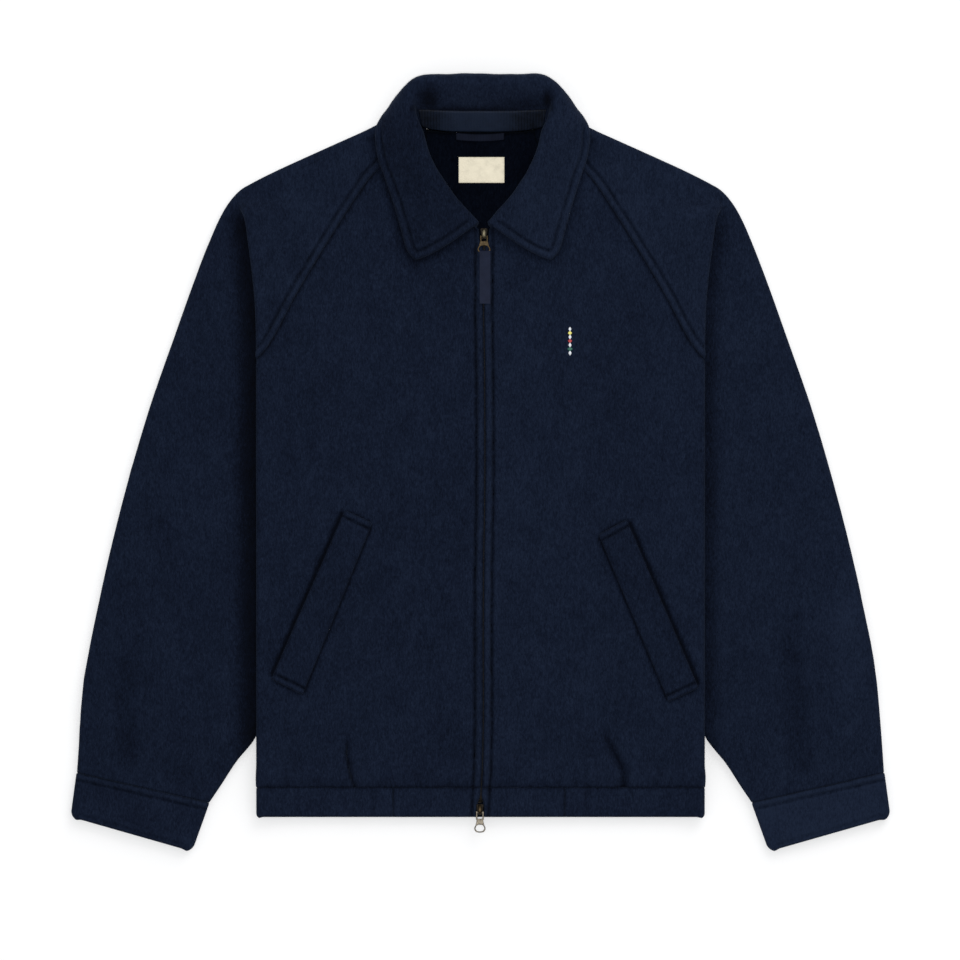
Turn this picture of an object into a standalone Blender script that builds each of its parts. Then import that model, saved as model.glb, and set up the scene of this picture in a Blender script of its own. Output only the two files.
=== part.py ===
"""Fleece jacket with raglan sleeves and a two-way zip, laid flat on its back.

Sizes and places are in millimetres; MM turns them into metres when a mesh is made.
X runs across the jacket, Y from the hem to the neck, Z up from the surface it lies on.
Every cloth piece is the middle surface of its wall, and a Solidify modifier gives it its thickness.
"""

import math

import bmesh
import bpy
import numpy as np
from mathutils import Matrix

MM = 0.001

# Walls and the small gaps between pieces
CLOTH = 3.0
BAND_CLOTH = 3.4
CUFF_CLOTH = 3.6
COLLAR_CLOTH = 4.2
WELT_CLOTH = 2.6
TAPE_CLOTH = 1.0
SEAM_GAP = 0.8
FOLD_SEAM_GAP = 2.0
LAY_GAP = 0.4
WELT_GAP = 0.9

# Folds: how far apart, middle to middle, the layers of a flattened tube lie
LAYER_RISE = 5.2
FOLD_RADIUS = LAYER_RISE / 2
TUCK_RADIUS = 2.1
FULL_DROP = 2 * (FOLD_RADIUS + TUCK_RADIUS)
FLOOR_MIDDLE = CLOTH / 2
FRONT_MIDDLE = FLOOR_MIDDLE + LAYER_RISE
RAMP_WIDTH = 76.0
BACK_RAMP_WIDTH = 48.0
RAMP_MARGIN = 5.0
RAMP_SHARES = (0.0, 0.33, 0.67, 1.0)
ZIP_STEPS = (26.0, 56.0)
ZIP_RISE = 1.0
ZIP_RISE_WIDTH = 55.0

# Levels along Y
NECK_FRONT_Y = 232.5
SHOULDER_FOLD_Y = 268.0
TUCK_FULL_Y = 232.0
SEAM_AT_FOLD_Y = 106.5
SEAM_PAST_FOLD_Y = 94.0
UNDERARM_Y = 71.5
HEM_TAB_X = (-87.5, 84.5)
UNDERARM_TUCK = 36.4

# Half widths in plan at heights along Y, from the neck down: columns y, half
OUTLINE = ((343.5, 91.0), (331.5, 114.0), (319.5, 140.5), (301.5, 180.5), (289.5, 206.5), (277.5, 230.0),
           (271.5, 240.0), (259.5, 251.0), (247.5, 258.5), (229.5, 267.0), (186.5, 284.0), (126.5, 305.5),
           (51.5, 331.5), (-38.5, 357.5), (-128.5, 379.0), (-218.5, 396.0), (-268.5, 400.5), (-311.0, 403.5))
TOP_FOLD = ((275.0, 239.5), (258.5, 237.5), (221.5, 233.0), (186.5, 228.5), (151.5, 225.2), (112.5, 224.0),
            (-360.0, 223.5))
FRONT_RAGLAN = ((341.0, 68.5), (333.5, 69.5), (295.5, 100.0), (281.5, 112.5), (260.5, 127.0), (217.5, 154.2),
                (168.5, 183.6), (116.5, 212.0), (106.5, 219.9))
BACK_RAGLAN = ((341.0, 58.0), (330.0, 54.0), (319.5, 56.6), (301.5, 65.5), (71.5, 179.0))
INNER_EDGE = ((71.5, 180.2), (11.5, 175.0), (-98.5, 180.0), (-198.5, 196.0), (-275.5, 227.5), (-300.0, 245.5),
              (-323.5, 259.7), (-340.5, 271.0))
SIDE_SEAM = ((71.5, 181.0), (-120.0, 188.0), (-360.0, 198.0))
NECK_EDGE = ((333.5, 69.0), (314.5, 68.0), (297.5, 61.0), (278.5, 49.0), (260.5, 34.0), (244.5, 18.0),
             (232.5, 5.5))
NECK_RISE = ((0.0, 0.0), (34.0, 0.4), (50.0, 1.9), (60.0, 3.4))
NECK_RISE_LENGTH = 28.5

# The zip's centre line and half the gap between the front edges: columns y, x, half_gap
ZIP_LINE = ((232.5, 3.5, 5.4), (226.0, 3.5, 4.6), (221.5, 3.6, 4.2), (217.0, 3.7, 1.3), (210.0, 3.8, 1.0),
            (100.0, 4.0, 1.0), (-100.0, 3.0, 1.0), (-300.0, 2.0, 1.0), (-337.0, 0.4, 1.0), (-341.5, 0.0, 4.2),
            (-346.0, -0.2, 4.5), (-360.0, -0.8, 4.8))

# Sleeve end and cuff: plan points of the outer and inner corners
SLEEVE_END = {"outer": (-404.0, -310.5), "inner": (-271.0, -340.5)}
CUFF_TOP = {"outer": (-404.0, -312.0), "inner": (-270.6, -343.0)}
CUFF_FOOT = {"outer": (-409.6, -354.5), "inner": (-288.0, -389.3)}

# Rows of each piece, as places along Y from the neck down, and steps round its folds
ARC_STEPS = 4
FRONT_LAYER_STEPS = 3
BACK_LAYER_STEPS = 3
FLAP_STEPS = 2
FOLD_ROWS = (106.5, 103.4, 100.25, 97.1, 94.0, 82.75, 71.5)
SLEEVE_ROWS = (341, 330, 319.5, 301.5, 289.5, 277.5, 270, 264, 258, 252, 246, 239, 232, 205, 170,
               138) + FOLD_ROWS
BODY_ROWS = (71.5, 40, 0, -50, -98.5, -150, -198.5, -230, -255, -275.5, -300, -325.6)
FRONT_ROWS = (324, 319.5, 311, 301.5, 289.5, 277.5, 264, 252, 246, 239, 232.5, 226, 221.5, 217, 210, 190, 170,
              138) + FOLD_ROWS[:-1] + BODY_ROWS
BACK_ROWS = (330, 319.5, 301.5, 232, 150, 120, 106.5, 95, 83) + BODY_ROWS
HEM_ROWS = (-326.4, -337.0, -341.5, -346.0, -355.5)
TAPE_ROWS = (221.5, 216, 200, 100, -100, -300, -337, -341.5)
CAP_STEPS = len(RAMP_SHARES) + 1
SLEEVE_RUNGS = (0.03, 0.09, 0.18, 0.30, 0.43, 0.56, 0.69, 0.82, 0.92, 1.0)
CUFF_STEPS = 3
TAB_STEPS = 4

# The sleeve back's free edges: a flat strip above the underarm, a curl up round its inner fold below it
CURL_LENGTH = 8.0
CURL_ANGLE = math.radians(75)

# The front raglan seam's travel round the top fold and under it: columns y, length along the cloth
FOLD_WALK = 2 * ARC_STEPS * FOLD_RADIUS * math.sin(math.pi / (2 * ARC_STEPS))
SEAM_TRAVEL = ((SEAM_AT_FOLD_Y, 0.0), (SEAM_PAST_FOLD_Y, FOLD_WALK),
               (UNDERARM_Y, FOLD_WALK + UNDERARM_TUCK - FOLD_SEAM_GAP / 2))

# Collar sections, from the centre back to the front edge. Plan places are (half, y), half from the collar's
# centre line. Headings are degrees from +X: 90 points to the neck's top, 180 away from the zip.
COLLAR_COLUMNS = ("seam_half", "seam_y", "seam_z", "crest_half", "crest_y", "crest_z",
                  "edge_half", "edge_y", "edge_z", "heading", "roll", "arrive", "reach", "lift")
COLLAR_SECTIONS = (
    (0, 331.0, 2.6, 0, 381.0, 35.7, 0, 356.5, 2.4, 90, 8.0, 270, 34, 0),
    (34, 331.5, 2.6, 34, 381.0, 35.7, 36, 356.0, 2.4, 90, 8.0, 270, 34, 0),
    (53, 334.0, 4.5, 59.5, 380.3, 35.5, 62.5, 354.8, 2.4, 96, 8.0, 274, 32, 0),
    (62, 337.5, 10.2, 72, 373.5, 34.5, 81, 352.0, 2.4, 130, 7.0, 315, 12, 3),
    (68, 339.5, 10.2, 75, 360.5, 33.2, 92.5, 349.0, 3.2, 148, 9.0, 335, 5, 12),
    (71, 336.0, 10.2, 71.5, 345.0, 31.8, 100.5, 341.5, 7.2, 165, 10.5, 345, 3, 12),
    (71, 327.5, 10.2, 66, 331.0, 30.2, 107.0, 329.5, 11.2, 180, 11.5, 180, 12, 9),
    (68, 313.5, 10.2, 61, 311.5, 28.0, 105.0, 305.5, 11.2, 186, 12.0, 190, 14, 7),
    (61, 297.0, 10.2, 53, 291.5, 25.6, 97.2, 281.5, 11.2, 194, 12.0, 196, 16, 6),
    (49, 278.0, 10.2, 41, 272.5, 23.2, 89.2, 256.0, 11.4, 200, 11.0, 200, 18, 5),
    (34, 260.5, 10.4, 28, 255.5, 21.4, 82.2, 231.0, 11.6, 205, 10.0, 204, 20, 4),
    (18, 244.5, 11.2, 15, 243.5, 21.0, 76.5, 211.5, 11.8, 208, 7.0, 206, 22, 3),
    (7, 234.0, 11.4, 7.5, 236.5, 20.0, 68.5, 201.5, 12.0, 214, 5.0, 190, 22, 2),
)
COLLAR_CENTRE_X = 2.0
COLLAR_FRONT_SHIFT = 0.7
COLLAR_SHIFT_START_Y = 300.0
COLLAR_SHIFT_LENGTH = 60.0
COLLAR_STATIONS = 20
COLLAR_STAND_STEPS = 4
COLLAR_FALL_STEPS = 6
BAND_HALF = 61.0
BAND_SPAN = (0.0, 0.45)
BAND_LEAST_Y = 300.0
BAND_STAND_STEPS = 12

# Small cloth pieces: plan corners and places
WELT_LEFT = {"top_inner": (-108.0, -61.5), "top_outer": (-135.5, -48.5),
             "foot_inner": (-178.0, -233.5), "foot_outer": (-209.0, -217.5)}
WELT_RIGHT = {"top_inner": (118.0, -73.0), "top_outer": (146.0, -58.0),
              "foot_inner": (188.0, -240.5), "foot_outer": (218.0, -226.5)}
LABEL = {"x": 1.0, "y": 291.5, "width": 46.0, "height": 26.0}
LOOP = {"x": -0.5, "y": 324.4, "width": 49.0, "height": 7.8, "rise": 1.6, "sag": 1.5}

# Zip parts
CHAIN_WIDTH = 6.0
CHAIN_THICK = 2.2
CHAIN_Z = 4.8
TAPE_WIDTH = 13.0
TAPE_Z = 4.6
SLIDER_WIDTH = 6.8
SLIDER_LENGTH = 11.0
SLIDER_FLOOR_Z = 3.7
SLIDER_TOP_Z = 9.8
BRIDGE_WIDTH = 2.6
BRIDGE_BAR = 1.2
BRIDGE_HOLE = 3.0
BRIDGE_LENGTH = 10.0
BRIDGE_LEG = 1.2
PIN_PLACE = 3.0
PIN_RADIUS = 0.7
PIN_SIDES = 12
EYE_OVERLAP = 0.4
PULL_THICK = 1.5
PULL_ARM = 2.0
PULL_ARM_GAP = 0.4
PULL_ARM_REACH = 6.5
PULL_ARM_TIP = 1.2
PULL_BAR = 1.6
UPPER_RING = {"length": 7.6, "width": 11.6}
LOWER_RING = {"length": 12.4, "width": 9.6}
UPPER_PIN = (3.5, 225.0)
LOWER_PIN = (-0.6, -351.0)

# The ribbon tab: a knuckle round the ring's last bar, and the strap that hangs from it
TAB_WIDTH = 9.7
TAB_THICK = 1.8
TAB_DROP = 1.6
TAB_FOOT_Y = 157.9
KNUCKLE_LENGTH = 5.6
KNUCKLE_SHIFT = 0.2
KNUCKLE_WALL = 0.6
KNUCKLE_GAP = 0.4
TAB_SLOT_LENGTH = 2.4
TAB_SLOT_THICK = PULL_THICK + 0.6

SIDES = {"left": -1, "right": 1}

COLOURS = {
    "fleece": (0.0075, 0.0110, 0.0260),
    "satin": (0.0150, 0.0230, 0.0520),
    "label": (0.79, 0.73, 0.59),
    "brass": (0.36, 0.25, 0.12),
    "tape": (0.006, 0.009, 0.020),
}


def clear_scene():
    for item in list(bpy.data.objects):
        bpy.data.objects.remove(item, do_unlink=True)


def make_material(name, colour, roughness, metallic=0.0):
    material = bpy.data.materials.new(name)
    material.use_nodes = True
    shader = material.node_tree.nodes["Principled BSDF"]
    shader.inputs["Base Color"].default_value = (*colour, 1.0)
    shader.inputs["Roughness"].default_value = roughness
    shader.inputs["Metallic"].default_value = metallic
    return material


def smooth(value):
    t = np.clip(value, 0.0, 1.0)
    return t * t * (3.0 - 2.0 * t)


def read_curve(table, place, column=1):
    """Value of a table's column at a place along its first column, on a smooth curve without overshoot."""
    rows = sorted(table)
    at = np.array([row[0] for row in rows], dtype=float)
    value = np.array([row[column] for row in rows], dtype=float)
    steps = np.diff(value) / np.diff(at)
    slopes = np.empty(len(at))
    slopes[0] = steps[0]
    slopes[-1] = steps[-1]
    for k in range(1, len(at) - 1):
        same_way = steps[k - 1] * steps[k] > 0
        slopes[k] = 2 * steps[k - 1] * steps[k] / (steps[k - 1] + steps[k]) if same_way else 0.0
    if place <= at[0]:
        return float(value[0] + slopes[0] * (place - at[0]))
    if place >= at[-1]:
        return float(value[-1] + slopes[-1] * (place - at[-1]))
    k = int(np.searchsorted(at, place) - 1)
    width = at[k + 1] - at[k]
    t = (place - at[k]) / width
    start = (1 + 2 * t) * (1 - t) ** 2 * value[k] + t * (1 - t) ** 2 * width * slopes[k]
    finish = t * t * (3 - 2 * t) * value[k + 1] + t * t * (t - 1) * width * slopes[k + 1]
    return float(start + finish)


def slope_of(table, place):
    step = 1.0
    return (read_curve(table, place + step) - read_curve(table, place - step)) / (2 * step)


def fold_angle(y):
    """How far the shoulder's fold has turned under at a height: none at the shoulder, then half a turn."""
    return math.pi * float(smooth((SHOULDER_FOLD_Y - y) / (SHOULDER_FOLD_Y - TUCK_FULL_Y)))


def tuck_depth(y):
    return UNDERARM_TUCK * max(0.0, (TUCK_FULL_Y - y) / (TUCK_FULL_Y - UNDERARM_Y))


def fold_drop(y):
    """Height from the top layer down to the layer under the tuck."""
    angle = fold_angle(y)
    if angle < 0.01:
        return 0.0
    return FULL_DROP * math.pi / 2 * (1 - math.cos(angle)) / angle


def hidden_edge(y):
    """Half width of the stack's inner edge: the tuck's above the underarm, the sleeve's below it."""
    if y >= UNDERARM_Y:
        return read_curve(TOP_FOLD, y) - (FOLD_RADIUS + TUCK_RADIUS + CLOTH) - tuck_depth(y)
    return read_curve(INNER_EDGE, y)


def stack_rise(half, y):
    """How much the stack beneath lifts the top layer at a plan place."""
    drop = fold_drop(y) if y > UNDERARM_Y else FULL_DROP
    if y >= UNDERARM_Y:
        slope = (hidden_edge(y + 1.0) - hidden_edge(y)) / 1.0
    else:
        slope = (hidden_edge(y) - hidden_edge(y - 1.0)) / 1.0
    inboard = (hidden_edge(y) - half) / math.hypot(1.0, slope) - RAMP_MARGIN
    return drop * (1.0 - float(smooth(inboard / RAMP_WIDTH)))


def zip_x(y):
    return read_curve(ZIP_LINE, y, 1)


def front_height(x, y):
    """Middle of the top layer of cloth."""
    beside_zip = 1.0 - float(smooth(abs(x - zip_x(y)) / ZIP_RISE_WIDTH))
    return FRONT_MIDDLE + stack_rise(abs(x), y) + ZIP_RISE * beside_zip


def back_height(x, y):
    """Middle of the back's layer: on the floor, climbing over the sleeve below the underarm."""
    reach = 1.0 - float(smooth((y - UNDERARM_Y) / BACK_RAMP_WIDTH))
    return FLOOR_MIDDLE + stack_rise(abs(x), y) * reach


def weld_grid(bm, rows, seen):
    """Faces between rows of points; points that coincide are one vertex."""
    def corner(point):
        key = tuple(round(float(value), 3) for value in point)
        if key not in seen:
            seen[key] = bm.verts.new([float(value) * MM for value in point])
        return seen[key]

    for upper, lower in zip(rows[:-1], rows[1:]):
        for k in range(len(upper) - 1):
            ring = []
            for point in (upper[k], upper[k + 1], lower[k + 1], lower[k]):
                vertex = corner(point)
                if vertex not in ring:
                    ring.append(vertex)
            if len(ring) > 2 and bm.faces.get(ring) is None:
                bm.faces.new(ring)


def add_mesh_object(name, bm, material, parts, smooth_angle=40.0):
    bmesh.ops.recalc_face_normals(bm, faces=bm.faces)
    mesh = bpy.data.meshes.new(name)
    bm.to_mesh(mesh)
    bm.free()
    mesh.shade_smooth()
    mesh.set_sharp_from_angle(angle=math.radians(smooth_angle))
    mesh.materials.append(material)
    item = bpy.data.objects.new(name, mesh)
    parts.objects.link(item)
    return item


def add_cloth(name, patches, wall, material, parts):
    """A cloth piece: patches of rows of middle points, welded, and given its wall."""
    bm = bmesh.new()
    seen = {}
    for rows in patches:
        weld_grid(bm, rows, seen)
    item = add_mesh_object(name, bm, material, parts)
    solidify = item.modifiers.new("Wall", "SOLIDIFY")
    solidify.thickness = wall * MM
    solidify.offset = 0.0
    solidify.use_even_offset = True
    return item


def spread(start, finish, count):
    """count + 1 values from start to finish."""
    return [start + (finish - start) * k / count for k in range(count + 1)]


def body_columns(inner, end, y, near_zip=()):
    """Half widths from inner to end: closer beside the zip and where the layer climbs the stack."""
    foot = hidden_edge(y) - RAMP_MARGIN - RAMP_WIDTH
    columns = [inner] + [inner + step for step in near_zip]
    columns += [foot + RAMP_WIDTH * share for share in RAMP_SHARES] + [end]
    least = min(4.0, (end - inner) / (2 * len(columns)))
    for k in range(len(columns) - 2, 0, -1):
        columns[k] = min(columns[k], columns[k + 1] - least)
    for k in range(1, len(columns) - 1):
        columns[k] = max(columns[k], columns[k - 1] + least)
    return columns


def fold_points(centre_half, centre_z, radius_half, radius_z, count, first=1, last=None):
    """Half widths and heights round an outward fold, from its top to its foot."""
    last = count if last is None else last
    points = []
    for k in range(first, last + 1):
        angle = math.pi * k / count
        points.append((centre_half + radius_half * math.sin(angle), centre_z + radius_z * math.cos(angle)))
    return points


def seam_travel(y):
    """How far round the top fold the front raglan seam has run, along the cloth, below the fold's start."""
    if y >= SEAM_AT_FOLD_Y:
        return 0.0
    rows = sorted(SEAM_TRAVEL)
    return float(np.interp(y, [row[0] for row in rows], [row[1] for row in rows]))


def outer_fold(y):
    """Outer fold of the sleeve in a row: where its curve starts, and its reach across the row."""
    stretch = math.hypot(1.0, slope_of(OUTLINE, y))
    reach = FOLD_RADIUS * stretch
    start = read_curve(OUTLINE, y) - CLOTH / 2 * stretch - reach
    return start, reach


def top_fold_start(y):
    """Half width where the top layer starts to turn under."""
    start = read_curve(TOP_FOLD, y) - FOLD_RADIUS - CLOTH / 2
    outer_start, _ = outer_fold(y)
    room = tuck_lengths(y)[2]
    return min(start, outer_start - room - 1.0)


def tuck_lengths(y):
    """Lengths along the cloth of the top fold and the inner fold in a row, and their reach across it."""
    top = math.pi * FOLD_RADIUS
    inner = math.pi * TUCK_RADIUS
    angle = fold_angle(y)
    if angle < 0.01:
        outer_start, _ = outer_fold(y)
        room = 0.55 * (outer_start - read_curve(FRONT_RAGLAN, y))
        scale = min(1.0, room / (top + inner))
        return top * scale, inner * scale, (top + inner) * scale
    return top, inner, (top + inner) * math.sin(angle) / angle


def tuck_profile(y):
    """Points (half, z) through the top fold, the tuck and the inner fold, in runs."""
    top, inner, _ = tuck_lengths(y)
    angle = fold_angle(y)
    start = top_fold_start(y)
    half, heading = start, 0.0
    height = 0.0
    runs = {"top": [(half, height)], "inner": []}
    for k in range(ARC_STEPS):
        turn = angle / ARC_STEPS
        middle = heading + turn / 2
        chord = top / ARC_STEPS * (math.sin(turn / 2) / (turn / 2) if turn > 1e-6 else 1.0)
        half += chord * math.cos(middle)
        height -= chord * math.sin(middle)
        heading += turn
        runs["top"].append((half, height))
    depth = tuck_depth(y)
    half += depth * math.cos(heading)
    height -= depth * math.sin(heading)
    runs["inner"].append((half, height))
    for k in range(ARC_STEPS):
        turn = angle / ARC_STEPS
        middle = heading - turn / 2
        chord = inner / ARC_STEPS * (math.sin(turn / 2) / (turn / 2) if turn > 1e-6 else 1.0)
        half += chord * math.cos(middle)
        height -= chord * math.sin(middle)
        heading -= turn
        runs["inner"].append((half, height))
    lift = FRONT_MIDDLE - height
    return {name: [(a, b + lift) for a, b in run] for name, run in runs.items()}


def along_tuck(y, travel):
    """Point on the tuck at a distance along the cloth from the top fold's start."""
    profile = tuck_profile(y)
    points = profile["top"] + profile["inner"]
    for first, second in zip(points[:-1], points[1:]):
        length = math.hypot(second[0] - first[0], second[1] - first[1])
        if travel <= length + 1e-9:
            t = max(0.0, travel) / length if length > 1e-9 else 0.0
            return first[0] + (second[0] - first[0]) * t, first[1] + (second[1] - first[1]) * t
        travel -= length
    return points[-1]


def build_sleeve(side_name, side, material, parts):
    upper_rows = []
    wrap_rows = []
    for y in SLEEVE_ROWS:
        travel = seam_travel(y)
        profile = tuck_profile(y)
        start = top_fold_start(y)
        cap = []
        if y >= SEAM_AT_FOLD_Y:
            first = min(read_curve(FRONT_RAGLAN, y) + SEAM_GAP / 2, start)
            cap = [(half, front_height(half, y)) for half in body_columns(first, start, y)]
            cap += profile["top"][1:] + profile["inner"]
        else:
            edge = along_tuck(y, travel + FOLD_SEAM_GAP / 2)
            points = profile["top"] + profile["inner"]
            kept = []
            walked = 0.0
            last = points[0]
            for point in points:
                walked += math.hypot(point[0] - last[0], point[1] - last[1])
                last = point
                kept.append(point if walked > travel + FOLD_SEAM_GAP / 2 else edge)
            cap = [edge] * CAP_STEPS + kept
        wrap_rows.append([(side * half, y, z) for half, z in cap])
        outer_start, reach = outer_fold(y)
        lower_start = profile["inner"][-1][0]
        layer = [(half, FRONT_MIDDLE) for half in spread(lower_start, outer_start, FRONT_LAYER_STEPS)]
        layer += fold_points(outer_start, FLOOR_MIDDLE + FOLD_RADIUS, reach, FOLD_RADIUS, ARC_STEPS)
        back_end = read_curve(BACK_RAGLAN, y) + SEAM_GAP / 2
        flat_end = back_end + CURL_LENGTH if y > UNDERARM_Y else hidden_edge(y) + FOLD_RADIUS + CLOTH / 2
        layer += [(half, FLOOR_MIDDLE) for half in spread(outer_start, flat_end, BACK_LAYER_STEPS)][1:]
        if y > UNDERARM_Y:
            layer += [(half, FLOOR_MIDDLE) for half in spread(flat_end, back_end, ARC_STEPS)][1:]
        else:
            for k in range(1, ARC_STEPS + 1):
                turn = CURL_ANGLE * k / ARC_STEPS
                layer.append((flat_end - FOLD_RADIUS * math.sin(turn),
                              FLOOR_MIDDLE + FOLD_RADIUS * (1 - math.cos(turn))))
        upper_rows.append([(side * half, y, z) for half, z in layer])
    for plan in sleeve_rungs():
        upper_rows.append([(side * half, y, z) for half, y, z in plan])
    return add_cloth(f"sleeve_{side_name}", [wrap_rows, upper_rows], CLOTH, material, parts)


def rung_ends(share):
    """Plan corners of a row of the sleeve below the underarm; rows swing to lie along the cuff."""
    swing = share ** 1.5
    outer_y = UNDERARM_Y + (SLEEVE_END["outer"][1] - UNDERARM_Y) * share
    inner_y = UNDERARM_Y + (SLEEVE_END["inner"][1] - UNDERARM_Y) * (share * (1 - swing) + share * swing)
    return (read_curve(OUTLINE, outer_y), outer_y), (read_curve(INNER_EDGE, inner_y), inner_y)


def sleeve_rungs():
    rows = []
    for share in SLEEVE_RUNGS:
        outer, inner = rung_ends(share)
        rows.append(flat_ring(outer, inner, CLOTH, FRONT_LAYER_STEPS, BACK_LAYER_STEPS))
    return rows


def flat_ring(outer, inner, wall, front_steps, back_steps):
    """One row round a flattened tube, from the inner fold over the front, round the outer fold and back."""
    across = math.hypot(outer[0] - inner[0], outer[1] - inner[1])
    inset = (wall / 2 + FOLD_RADIUS) / across
    floor = wall / 2

    def place(share, z):
        half = inner[0] + (outer[0] - inner[0]) * share
        y = inner[1] + (outer[1] - inner[1]) * share
        return half, y, z

    row = [place(share, floor + LAYER_RISE) for share in spread(inset, 1 - inset, front_steps)]
    for bulge, z in fold_points(0.0, floor + FOLD_RADIUS, FOLD_RADIUS, FOLD_RADIUS, ARC_STEPS):
        row.append(place(1 - inset + bulge / across, z))
    row += [place(share, floor) for share in spread(1 - inset, inset, back_steps)][1:]
    for bulge, z in reversed(fold_points(0.0, floor + FOLD_RADIUS, FOLD_RADIUS, FOLD_RADIUS, ARC_STEPS, 0,
                                         ARC_STEPS - 1)):
        row.append(place(inset - bulge / across, z))
    return row


def build_cuff(side_name, side, material, parts):
    rows = []
    for share in spread(0.0, 1.0, CUFF_STEPS):
        outer = [CUFF_TOP["outer"][n] + (CUFF_FOOT["outer"][n] - CUFF_TOP["outer"][n]) * share for n in (0, 1)]
        inner = [CUFF_TOP["inner"][n] + (CUFF_FOOT["inner"][n] - CUFF_TOP["inner"][n]) * share for n in (0, 1)]
        ring = flat_ring((-outer[0], outer[1]), (-inner[0], inner[1]), CUFF_CLOTH, FRONT_LAYER_STEPS,
                         BACK_LAYER_STEPS)
        rows.append([(side * half, y, z) for half, y, z in ring])
    return add_cloth(f"cuff_{side_name}", [rows], CUFF_CLOTH, material, parts)


def collar_centre(y):
    """The collar's centre line, which moves a little to the right towards the zip."""
    share = float(smooth((COLLAR_SHIFT_START_Y - y) / COLLAR_SHIFT_LENGTH))
    return COLLAR_CENTRE_X + COLLAR_FRONT_SHIFT * share


def front_inner_edge(y, side):
    """Signed x of a front's edge towards the zip or the neck."""
    if y > NECK_FRONT_Y:
        return collar_centre(y) + side * read_curve(NECK_EDGE, y)
    return zip_x(y) + side * read_curve(ZIP_LINE, y, 2)


def body_fold_row(x_inner, y, side, wall, middle_offset, end_half):
    """A row of the body: top layer from x_inner to the side, round the fold, and under to end_half."""
    start = read_curve(TOP_FOLD, y) - FOLD_RADIUS - wall / 2
    points = []
    for half in body_columns(side * x_inner, start, y, ZIP_STEPS):
        points.append((side * half, y, front_height(side * half, y) + middle_offset))
    foot = back_height(start, y) + middle_offset
    top = points[-1][2]
    for half, z in fold_points(start, (top + foot) / 2, FOLD_RADIUS, (top - foot) / 2, ARC_STEPS):
        points.append((side * half, y, z))
    flap = spread(start, end_half, FLAP_STEPS) if end_half > 0 else body_columns(0.0, start, y)[::-1]
    for half in flap[1:]:
        points.append((side * half, y, back_height(half, y) + middle_offset))
    return points


def top_row(side, inner, end, y):
    return [(side * half, y, front_height(side * half, y)) for half in body_columns(inner, end, y, ZIP_STEPS)]


def build_front(side_name, side, material, parts):
    rows = []
    for y in FRONT_ROWS:
        x_inner = front_inner_edge(y, side)
        if y > SEAM_AT_FOLD_Y:
            end = read_curve(FRONT_RAGLAN, y) - SEAM_GAP / 2
            row = top_row(side, side * x_inner, end, y)
            row += [row[-1]] * (ARC_STEPS + FLAP_STEPS)
        elif y >= UNDERARM_Y:
            travel = seam_travel(y) - FOLD_SEAM_GAP / 2
            start = top_fold_start(y)
            profile = tuck_profile(y)["top"]
            step = math.hypot(profile[1][0] - profile[0][0], profile[1][1] - profile[0][1])
            row = top_row(side, side * x_inner, start + min(0.0, travel), y)
            edge = along_tuck(y, travel) if travel > 0 else None
            for k in range(1, ARC_STEPS + 1):
                if edge is None:
                    row.append(row[-1])
                    continue
                half, z = profile[k] if k * step <= travel else edge
                row.append((side * half, y, z))
            last_half = abs(row[-1][0])
            flap_end = edge[0] if edge is not None and travel > ARC_STEPS * step else last_half
            for half in spread(last_half, flap_end, FLAP_STEPS)[1:]:
                row.append((side * half, y, row[-1][2]))
        else:
            end_half = read_curve(SIDE_SEAM, y) + SEAM_GAP / 2
            row = body_fold_row(x_inner, y, side, CLOTH, 0.0, end_half)
        rows.append(row)
    return add_cloth(f"front_{side_name}", [rows], CLOTH, material, parts)


def neck_rise(half, y):
    """How much higher the back's neck edge lies away from the centre, fading out below it."""
    share = smooth((y - BACK_ROWS[0]) / NECK_RISE_LENGTH + 1.0)
    return read_curve(NECK_RISE, half) * share


def build_back(material, parts):
    rows = []
    for y in BACK_ROWS:
        table = BACK_RAGLAN if y >= UNDERARM_Y else SIDE_SEAM
        edge_y = y + neck_rise(read_curve(table, y), y)
        half_width = read_curve(table, edge_y) - SEAM_GAP / 2
        columns = body_columns(0.0, half_width, y)
        columns = [-half for half in reversed(columns[1:])] + columns
        rows.append([(x, y + neck_rise(abs(x), y), back_height(x, y)) for x in columns])
    return add_cloth("back", [rows], CLOTH, material, parts)


def build_hem(material, parts):
    """Two flat tabs beside the zip and one gathered band from tab to tab round the back."""
    offset = (BAND_CLOTH - CLOTH) / 2
    for (side_name, side), tab_x in zip(SIDES.items(), HEM_TAB_X):
        rows = []
        for y in HEM_ROWS:
            inner = zip_x(y) + side * read_curve(ZIP_LINE, y, 2)
            outer = tab_x - side * SEAM_GAP / 2
            rows.append([(x, y, front_height(x, y) + offset) for x in spread(inner, outer, TAB_STEPS)])
        add_cloth(f"hem_tab_{side_name}", [rows], BAND_CLOTH, material, parts)
    rows = []
    for y in (HEM_ROWS[0], HEM_ROWS[2], HEM_ROWS[-1]):
        halves = []
        for side, tab_x in zip(SIDES.values(), HEM_TAB_X):
            row = body_fold_row(tab_x + side * SEAM_GAP / 2, y, side, BAND_CLOTH, offset, 0.0)
            halves.append(row)
        rows.append(halves[0] + list(reversed(halves[1]))[1:])
    add_cloth("hem_band", [rows], BAND_CLOTH, material, parts)


def unit(degrees):
    """Plan direction of a heading on the left half, as (towards the outside, towards the neck)."""
    return np.array([-math.cos(math.radians(degrees)), math.sin(math.radians(degrees))])


def bezier(points, share):
    a, b, c, d = points
    t = share
    return (1 - t) ** 3 * a + 3 * (1 - t) ** 2 * t * b + 3 * (1 - t) * t * t * c + t ** 3 * d


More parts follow.
